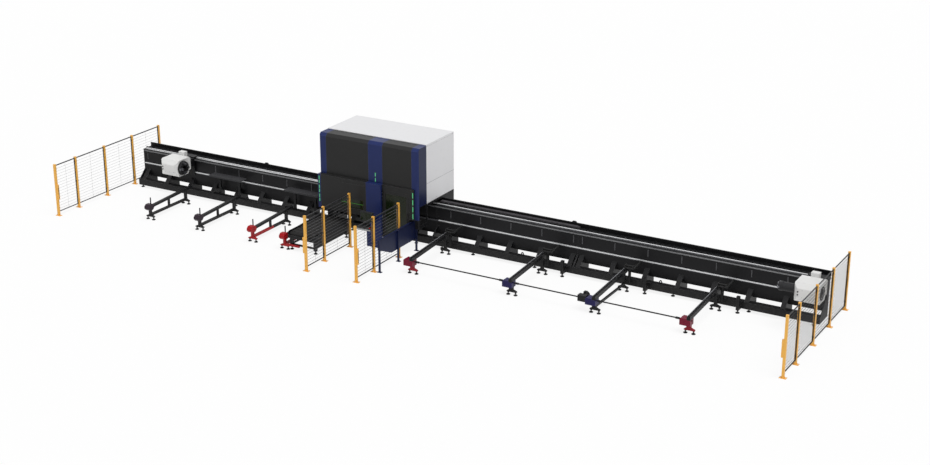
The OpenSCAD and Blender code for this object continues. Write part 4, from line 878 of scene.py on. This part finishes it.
class LASERLINE_OT_rails(Build, bpy.types.Operator):
    """Add the rack's teeth and the plugs in the rails"""

    bl_idname = "laserline.rails"
    bl_label = "Rack teeth and rail plugs"

    def execute(self, context):
        sizes = context.scene.laserline_sizes
        lower, rack, upper = rail_bars()
        lo, hi = rack
        pitch, deep = sizes.tooth_pitch, 8 * MM
        root, tip = pitch * 0.38, pitch * 0.2
        teeth = Shape()
        for x in steps(lo.x + pitch, hi.x - pitch, pitch):
            outline = [(x - root, lo.y, 0), (x - tip, lo.y - deep, 0),
                       (x + tip, lo.y - deep, 0), (x + root, lo.y, 0)]
            teeth.prism(outline, (0, 0, lo.z), (0, 0, hi.z))
        teeth.piece("rack_teeth", "rail_steel", "base")
        end, plug_r, proud = mm(60, 9, 0.15)
        y, z = middle(*upper).y, middle(*lower).z
        plugs = Shape()
        for x in steps(upper[0].x + end, upper[1].x - end, sizes.plug_pitch):
            plugs.rod((x, y, upper[1].z - MM), (x, y, upper[1].z + proud), plug_r, sides=10)
            plugs.rod((x, lower[0].y + MM, z), (x, lower[0].y - proud, z), plug_r, sides=10)
        plugs.piece("rail_plugs", "rail_steel", "base")
        return {"FINISHED"}


class LASERLINE_OT_bed_fasteners(Build, bpy.types.Operator):
    """Bolt the rack and the bed joints, and put lock nuts on the feet"""

    bl_idname = "laserline.bed_fasteners"
    bl_label = "Bed fasteners"

    def execute(self, context):
        lo, hi = rail_bars()[1]
        face, under_rack = hi.y, lo.z - 20 * MM
        end, pitch, joint = mm(100, 300, 70)
        bolts = Shape()
        for name in BEDS:
            lo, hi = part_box(name)
            for x in steps(lo.x + end, hi.x - end, pitch):
                bolts.screw((x, face, under_rack), FRONT, *RACK_SCREW)
            for x in (lo.x + joint, hi.x - joint):
                for z in mm(480, 640, 950, 1120):
                    bolts.bolt((x, face, z), FRONT, *JOINT_BOLT)
        bolts.piece("bed_bolts", "shaft_black", "base")
        nut_top, nut_low, washer_low = mm(2, 26, 32)
        nut_r, washer_r = mm(25, 30)
        nuts = Shape()
        for lo, hi in solids("levelling_feet"):
            top = Vector((*middle(lo, hi).xy, hi.z))
            nuts.rod(top - UP * nut_low, top - UP * nut_top, nut_r, sides=6)
            nuts.rod(top - UP * washer_low, top - UP * nut_low, washer_r, sides=18)
        nuts.piece("foot_nuts", "shaft_black", "base")
        return {"FINISHED"}


class LASERLINE_OT_loader_chains(Build, bpy.types.Operator):
    """Lay the carrying chains in the loading arms' grooves, with a pale strip beside each that stands for a
    glint, a painted highlight
    """

    bl_idname = "laserline.loader_chains"
    bl_label = "Loading chains"

    def execute(self, context):
        pitch = context.scene.laserline_sizes.chain_pitch
        shortest, front_z, groove, from_block, end = mm(1500, 545, 16, 55, 12)
        plate = Vector((3 * MM, pitch * 1.3, 22 * MM))
        inner, roller_r = mm(13, 9)
        near, far, low, high = mm(-53, -38, 15, 24)
        strip = [(near, 0, low), (far, 0, low), (far, 0, high), (near, 0, high)]
        beams = [b for b in solids("loader_arms") if b[1].y - b[0].y > shortest]
        for i, (beam, block) in enumerate(zip(beams, solids("loader_blocks"))):
            x = block[1].x - from_block
            start = Vector((x, block[0].y + end, front_z - groove + plate.z / 2))
            stop = Vector((x, beam[1].y - end, beam[1].z - groove + plate.z / 2 - MM))
            way = (stop - start).normalized()
            tilt = Matrix.Rotation(math.atan2(way.z, way.y), 4, "X")
            chain = Shape()
            for k in range(int((stop - start).length / pitch)):
                at = start + way * pitch * (k + 0.5)
                wide = inner + (plate.x if k % 2 else 0.0)
                for side in (LEFT, RIGHT):
                    centre = at + side * wide
                    chain.box(centre - plate / 2, centre + plate / 2, turn=tilt)
                pin = at + way * pitch / 2
                chain.rod(pin + LEFT * inner, pin + RIGHT * inner, roller_r, sides=10)
            chain.piece(f"loader_chain_{i + 1}", "shaft_black", "base")
            drop = UP * plate.z / 2
            # A pale strip beside the chain: a painted highlight for the glint along it
            glint_strip = Shape().prism(strip, start - drop, stop - drop)
            glint_strip.piece(f"loader_strip_{i + 1}", "bridge_grey", "base")
        return {"FINISHED"}


class LASERLINE_OT_chuck_trim(Build, bpy.types.Operator):
    """Add rings, covers, plugs and screws to the chuck carriages and the chucks"""

    bl_idname = "laserline.chuck_trim"
    bl_label = "Chuck trim"

    def execute(self, context):
        ring_t = 12 * MM
        for name, ways in (("outfeed", (RIGHT, LEFT)), ("feed", (LEFT, RIGHT))):
            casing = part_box(f"{name}_casing")
            axis = middle(*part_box(f"{name}_chuck"))
            rings, screws = Shape(), Shape()
            for way, (inner, outer) in zip(ways, (mm(230, 252), mm(155, 200))):
                centre = Vector((end_x(casing, way), axis.y, axis.z))
                rings.ring(centre, way, inner, outer, ring_t, sides=48)
                for spot in around(centre + way * ring_t, (inner + outer) / 2):
                    screws.screw(spot, way, *RING_SCREW)
            rings.piece(f"{name}_casing_trim", "panel_grey", f"{name}_carriage")
            screws.piece(f"{name}_casing_screws", "jaw_steel", f"{name}_carriage")
            self.covers(name, casing, axis.z)
        chucks = (("outfeed", RIGHT, 190 * MM), ("feed", LEFT, 118 * MM), ("middle", LEFT, 190 * MM))
        for name, way, radius in chucks:
            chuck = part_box(f"{name}_chuck")
            centre = middle(*chuck)
            centre.x = end_x(chuck, way)
            screws = Shape()
            for spot in around(centre, radius):
                screws.screw(spot, way, *CHUCK_SCREW)
            screws.piece(f"{name}_chuck_screws", "jaw_steel", f"{name}_rotor")
        return {"FINISHED"}

    @staticmethod
    def covers(name, casing, z):
        """A screwed white cover on the casing's front at a height, with two dark plugs beside it."""
        wide, tall, proud, inset = mm(190, 130, 6, 25)
        x, face = middle(*casing).x + 60 * MM, casing[0].y
        plate, fixings = Shape(), Shape()
        plate.box((x - wide, face - proud, z - tall), (x + wide, face + MM, z + tall), bevel=3 * MM)
        plate.piece(f"{name}_casing_cover", "chuck_white", f"{name}_carriage")
        for dx in (-wide + inset, 0.0, wide - inset):
            for dz in (-tall + inset, tall - inset):
                fixings.screw((x + dx, face - proud, z + dz), FRONT, *PLATE_SCREW)
        plug_x, plug_z, plug_t, plug_r, tip_r = mm(295, 45, 8, 24, 21)
        for dz in (-plug_z, plug_z):
            spot = Vector((x - plug_x, face, z + dz))
            top = spot + FRONT * plug_t
            fixings.rod(spot - FRONT * MM, top, plug_r, sides=20, tip=tip_r, bevel=2 * MM)
            fixings.ring(top, FRONT, inner=10 * MM, outer=18 * MM, length=5 * MM, sides=20)
        fixings.piece(f"{name}_cover_fixings", "shaft_black", f"{name}_carriage")


class LASERLINE_OT_station_trim(Build, bpy.types.Operator):
    """Add gaskets, the door pull, screws, seams and light bands to the cutting station"""

    bl_idname = "laserline.station_trim"
    bl_label = "Station trim"

    def execute(self, context):
        self.gasket("front_window", "base")
        self.gasket("door_glass", "sliding_door")
        self.door_pull()
        self.cover_joints()
        self.light_bands()
        return {"FINISHED"}

    @staticmethod
    def gasket(node, body):
        """A rubber seal round a pane."""
        seal, proud = mm(14, 3)
        lo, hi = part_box(node)
        rubber = Shape()
        for a, b in (((lo.x, lo.z), (hi.x, lo.z + seal)), ((lo.x, hi.z - seal), (hi.x, hi.z)),
                     ((lo.x, lo.z), (lo.x + seal, hi.z)), ((hi.x - seal, lo.z), (hi.x, hi.z))):
            rubber.box((a[0], lo.y - proud, a[1]), (b[0], hi.y + proud, b[1]), bevel=MM)
        rubber.piece(f"{node}_gasket", "belt_rubber", body)

    @staticmethod
    def door_pull():
        """A round pull on two stems with washers."""
        lo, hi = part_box("door")
        x, y = hi.x - 48 * MM, lo.y - 42 * MM
        low, high = middle(lo, hi).z - 200 * MM, middle(lo, hi).z + 140 * MM
        stem = 40 * MM
        pull = Shape()
        pull.rod((x, y, low), (x, y, high), radius=11 * MM, sides=20, bevel=3 * MM)
        for z in (low + stem, high - stem):
            foot = Vector((x, lo.y, z))
            pull.rod(foot, (x, y, z), radius=9 * MM, sides=16)
            pull.rod(foot, foot + FRONT * 4 * MM, radius=17 * MM, sides=20)
        pull.piece("door_pull", "shaft_black", "sliding_door")

    @staticmethod
    def cover_joints():
        """Screws and seams of the white cover."""
        lo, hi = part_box("cabinet_cover")
        rim, end, side_pitch, rear_pitch = mm(50, 80, 500, 600)
        screws = Shape()
        for z in (lo.z + rim, hi.z - rim):
            for y in steps(lo.y + end, hi.y - end, side_pitch):
                screws.screw((hi.x, y, z), RIGHT, *COVER_SCREW)
                screws.screw((lo.x, y, z), LEFT, *COVER_SCREW)
            for x in steps(lo.x + end, hi.x - end, rear_pitch):
                screws.screw((x, hi.y, z), REAR, *COVER_SCREW)
        screws.piece("cover_screws", "jaw_steel", "base")
        z = lo.z + (hi.z - lo.z) * SEAM_SHARE
        half_h, rim_low, rim_high, proud = mm(4, 64, 60, 0.6)
        seams = Shape()
        for x in (lo.x, hi.x):
            for low, high in ((z - half_h, z + half_h), (hi.z - rim_low, hi.z - rim_high)):
                seams.box((x - proud, lo.y, low), (x + proud, hi.y, high))
        seams.piece("cover_seams", "bridge_grey", "base")

    @staticmethod
    def light_bands():
        """Dark bands that part the upright light strips."""
        upright, end, pitch, half_h = mm(100, 9, 190, 11)
        bands = Shape()
        for lo, hi in solids("led_strips"):
            if hi.z - lo.z > upright:
                for z in (lo.z + end, hi.z - end, *steps(lo.z, hi.z, pitch)[1:-1]):
                    bands.box((lo.x - MM, lo.y - MM, z - half_h),
                              (hi.x + MM, hi.y + MM, z + half_h), bevel=MM)
        bands.piece("led_bands", "panel_grey", "base")


class LASERLINE_OT_rear_doors(Build, bpy.types.Operator):
    """Hang louvred service doors on the station's rear side"""

    bl_idname = "laserline.rear_doors"
    bl_label = "Rear doors"

    def execute(self, context):
        lo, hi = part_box("cabinet_cover")
        count = 3
        margin, split, proud = mm(120, 12, 14)
        vent_x, vent_low, vent_high, vent_rim = mm(160, 120, 620, 4)
        slat_x, slat_end, slat_pitch, slat_h, slat_t = mm(190, 50, 40, 13, 10)
        hinge_x, hinge_z, hinge_h, latch_x = mm(8, 250, 50, 60)
        tilt = Matrix.Rotation(math.radians(28), 4, "X")
        wide = (hi.x - lo.x - 2 * margin) / count
        face, front = hi.y, hi.y + proud
        low, high = lo.z + margin, hi.z - margin
        doors, louvres, fittings = Shape(), Shape(), Shape()
        for i in range(count):
            x0 = lo.x + margin + wide * i + split / 2
            x1 = x0 + wide - split
            doors.box((x0, face - MM, low), (x1, front, high), bevel=5 * MM)
            doors.box((x0 + vent_x, face, low + vent_low),
                      (x1 - vent_x, front + vent_rim, low + vent_high), bevel=4 * MM)
            for z in steps(low + vent_low + slat_end, low + vent_high - slat_end, slat_pitch):
                louvres.box((x0 + slat_x, front, z - slat_h), (x1 - slat_x, front + slat_t, z + slat_h),
                            bevel=2 * MM, turn=tilt)
            for z in (low + hinge_z, high - hinge_z):
                pin = Vector((x0 + hinge_x, front, z))
                fittings.rod(pin - UP * hinge_h, pin + UP * hinge_h, radius=9 * MM, sides=14, bevel=2 * MM)
            at = Vector((x1 - latch_x, front, (low + high) / 2))
            fittings.rod(at, at + REAR * 6 * MM, radius=20 * MM, sides=24, bevel=2 * MM)
            fittings.box(at + Vector(mm(-9, 5, -70)), at + Vector(mm(9, 20, 20)), bevel=4 * MM)
        doors.piece("rear_doors", "cover_white", "base")
        louvres.piece("rear_louvres", "cover_white", "base")
        fittings.piece("rear_door_fittings", "panel_grey", "base")
        return {"FINISHED"}


class LASERLINE_OT_bed_rear(Build, bpy.types.Operator):
    """Put bolted covers and a clipped cable pipe on the bed's rear wall"""

    bl_idname = "laserline.bed_rear"
    bl_label = "Bed rear"

    def execute(self, context):
        end, pitch, half_w, low, high = mm(700, 1100, 260, 600, 980)
        cover_t, inset = mm(5, 25)
        pipe_end, pipe_y, pipe_z, pipe_r = mm(50, 34, 1160, 22)
        clip_end, clip_pitch, clip_w, clip_h, clip_out = mm(300, 900, 18, 30, 60)
        covers, bolts, pipe, clips = Shape(), Shape(), Shape(), Shape()
        for name in BEDS:
            lo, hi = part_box(name)
            face = self.rear_face(name)
            for x in steps(lo.x + end, hi.x - end, pitch):
                covers.box((x - half_w, face - MM, low), (x + half_w, face + cover_t, high), bevel=2 * MM)
                for dx in (inset - half_w, 0.0, half_w - inset):
                    for z in (low + inset, high - inset):
                        bolts.bolt((x + dx, face + cover_t, z), REAR, *REAR_BOLT)
            pipe.rod((lo.x + pipe_end, face + pipe_y, pipe_z),
                     (hi.x - pipe_end, face + pipe_y, pipe_z), pipe_r, sides=18)
            for x in steps(lo.x + clip_end, hi.x - clip_end, clip_pitch):
                clips.box((x - clip_w, face - MM, pipe_z - clip_h),
                          (x + clip_w, face + clip_out, pipe_z + clip_h), bevel=6 * MM)
        covers.piece("bed_rear_covers", "bed_paint", "base")
        bolts.piece("bed_rear_bolts", "shaft_black", "base")
        pipe.piece("bed_cable_pipe", "bridge_grey", "base")
        clips.piece("bed_pipe_clips", "shaft_black", "base")
        return {"FINISHED"}

    @staticmethod
    def rear_face(name):
        """How far back a bed's rear wall stands, measured above its feet."""
        wall_low = 300 * MM
        return max(v.co.y for v in frame["nodes"][name].data.vertices if v.co.z > wall_low)


class LASERLINE_OT_console_trim(Build, bpy.types.Operator):
    """Add the screen and the keys to the console"""

    bl_idname = "laserline.console_trim"
    bl_label = "Console trim"

    def execute(self, context):
        lo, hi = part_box("console")
        x = middle(lo, hi).x
        half_w, housing_h, bezel, setback, glass_t = mm(200, 320, 30, 178.3, 2)
        front = lo.y + setback
        screen = Shape()
        screen.box((x - half_w, front, hi.z - housing_h + bezel),
                   (x + half_w, front + glass_t, hi.z - bezel), bevel=MM)
        screen.piece("console_screen", "tinted_glass", "operator_console")
        rows, columns = 6, 20
        pitch, size, rise = mm(19, 15, 5)
        first = Vector((x - 220 * MM, lo.y + 36 * MM, lo.z + 46 * MM))
        keys = Shape()
        for row in range(rows):
            for column in range(columns):
                at = first + Vector((column * pitch, row * pitch, 0))
                keys.box(at - UP * MM, at + Vector((size, size, rise)), bevel=1.5 * MM)
        keys.piece("console_keys", "panel_grey", "operator_console")
        return {"FINISHED"}


class LASERLINE_OT_drive_trim(Build, bpy.types.Operator):
    """Add fins and a terminal box to the loader's motor, and bearing housings to the conveyor's rollers"""

    bl_idname = "laserline.drive_trim"
    bl_label = "Drive trim"

    def execute(self, context):
        self.motor_fins()
        self.roller_bearings()
        return {"FINISHED"}

    @staticmethod
    def motor_fins():
        """Cooling fins round the motor, its end ring and its terminal box."""
        lo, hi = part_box("loader_motor")
        x, z = middle(lo, hi).x, middle(*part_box("loader_shaft")).z
        count, radius, start, end = 20, 80 * MM, hi.y - 190 * MM, hi.y - 20 * MM
        out, half = radius + 4 * MM, Vector((2 * MM, (end - start) / 2, 9 * MM))
        fins = Shape()
        for i in range(count):
            a = math.tau * i / count
            centre = Vector((x - math.sin(a) * out, (start + end) / 2, z + math.cos(a) * out))
            fins.box(centre - half, centre + half, turn=Matrix.Rotation(-a, 4, "Y"))
        fins.ring((x, end, z), REAR, inner=10 * MM, outer=89 * MM, length=18 * MM, sides=28)
        top = z + radius
        fins.box((x - 50 * MM, start + 20 * MM, top),
                 (x + 50 * MM, start + 130 * MM, top + 50 * MM), bevel=4 * MM)
        fins.piece("loader_motor_fins", "bed_paint", "base")

    @staticmethod
    def roller_bearings():
        """Flanged bearings on the conveyor's left side."""
        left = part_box("conveyor_frame")[0].x
        half = Vector((0, 95 * MM, 36 * MM))
        flange_t, hub_l, hub_r, tip_r, bolt_y = mm(12, 22, 48, 58, 75)
        bearings = Shape()
        for node in ("head_roller", "tail_roller"):
            seat = middle(*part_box(node))
            seat.x = left
            bearings.rod(seat + LEFT * hub_l, seat, hub_r, sides=28, tip=tip_r)
            for way in (FRONT, REAR):
                bearings.bolt(seat + way * bolt_y, LEFT, *BEARING_BOLT)
            bearings.box(seat + LEFT * flange_t - half, seat + half, bevel=5 * MM)
        bearings.piece("roller_bearings", "bridge_grey", "base")


class LASERLINE_OT_stage(Build, bpy.types.Operator):
    """Set the floor, the light and the camera"""

    bl_idname = "laserline.stage"
    bl_label = "Stage"

    def execute(self, context):
        scene = context.scene
        scene.view_settings.view_transform = "Standard"
        self.floor(scene)
        world = bpy.data.worlds.new("surround")
        world.use_nodes = True
        scene.world = world
        sky = Graph(world.node_tree)
        ground = world.node_tree.nodes["Background"].inputs
        sky.feed(ground["Color"], WHITE)
        sky.feed(ground["Strength"], SKY_LIGHT + sky.seen() * (1.0 - SKY_LIGHT))
        for name, energy, spread, turn in LAMPS:
            light = bpy.data.lights.new(name, "SUN")
            light.energy = energy
            light.angle = math.radians(spread)
            lamp = bpy.data.objects.new(name, light)
            lamp.rotation_euler = [math.radians(t) for t in turn]
            scene.collection.objects.link(lamp)
        camera = bpy.data.cameras.new("camera")
        camera.sensor_width = SENSOR_W
        camera.lens = FOCAL_PX * SENSOR_W / PHOTO_W
        camera.clip_end = VIEW_DEPTH
        eye = bpy.data.objects.new("camera", camera)
        eye.location = CAMERA_AT
        eye.rotation_euler = (math.radians(90 - CAMERA_DOWN), 0, math.radians(CAMERA_YAW))
        scene.collection.objects.link(eye)
        scene.camera = eye
        return {"FINISHED"}

    @staticmethod
    def floor(scene):
        """A pale floor that looks white to the camera and keeps a faint shadow of the line."""
        mesh = bpy.data.meshes.new("floor")
        corners = [(x * FLOOR_REACH, y * FLOOR_REACH, 0) for x, y in ((-1, -1), (1, -1), (1, 1), (-1, 1))]
        mesh.from_pydata(corners, [], [(0, 1, 2, 3)])
        floor = bpy.data.objects.new("floor", mesh)
        scene.collection.objects.link(floor)
        floor.location.z = -FLOOR_DROP
        f = Finish("pale_floor")
        f.set(Base_Color=FLOOR_PAINT, Roughness=0.7)
        glow = f.node("ShaderNodeEmission", None, {"Color": WHITE, "Strength": 1.0})
        lit = Value(f, f.shader.outputs[0])
        both = f.node("ShaderNodeMixShader", None, {0: f.seen() * FLOOR_GLOW, 1: lit, 2: glow})
        f.feed(f.tree.nodes["Material Output"].inputs["Surface"], both)
        mesh.materials.append(f.material)


OPERATORS = [
    LASERLINE_OT_finishes, LASERLINE_OT_fence_mesh, LASERLINE_OT_fence_fixings, LASERLINE_OT_light_curtains,
    LASERLINE_OT_rails, LASERLINE_OT_bed_fasteners, LASERLINE_OT_loader_chains, LASERLINE_OT_chuck_trim,
    LASERLINE_OT_station_trim, LASERLINE_OT_rear_doors, LASERLINE_OT_bed_rear, LASERLINE_OT_console_trim,
    LASERLINE_OT_drive_trim, LASERLINE_OT_stage,
]


class LASERLINE_PT_build(bpy.types.Panel):
    """Colours, sizes and building steps of the line"""

    bl_idname = "LASERLINE_PT_build"
    bl_label = "Laser line"
    bl_space_type = "VIEW_3D"
    bl_region_type = "UI"
    bl_category = "Laser line"

    def draw(self, context):
        for group in (context.scene.laserline_colours, context.scene.laserline_sizes):
            for name in group.__annotations__:
                self.layout.prop(group, name)
        for step in OPERATORS:
            self.layout.operator(step.bl_idname)


CLASSES = [LineColours, LineSizes, *OPERATORS, LASERLINE_PT_build]


def register():
    """Makes the line's properties, operators and panel known."""
    for cls in CLASSES:
        bpy.utils.register_class(cls)
    bpy.types.Scene.laserline_colours = bpy.props.PointerProperty(type=LineColours)
    bpy.types.Scene.laserline_sizes = bpy.props.PointerProperty(type=LineSizes)


def unregister():
    """Takes them away again."""
    del bpy.types.Scene.laserline_sizes
    del bpy.types.Scene.laserline_colours
    for cls in reversed(CLASSES):
        bpy.utils.unregister_class(cls)


def main():
    """Builds every piece in order."""
    register()
    for step in OPERATORS:
        area, name = step.bl_idname.split(".")
        getattr(getattr(bpy.ops, area), name)()


if __name__ == "__main__":
    main()
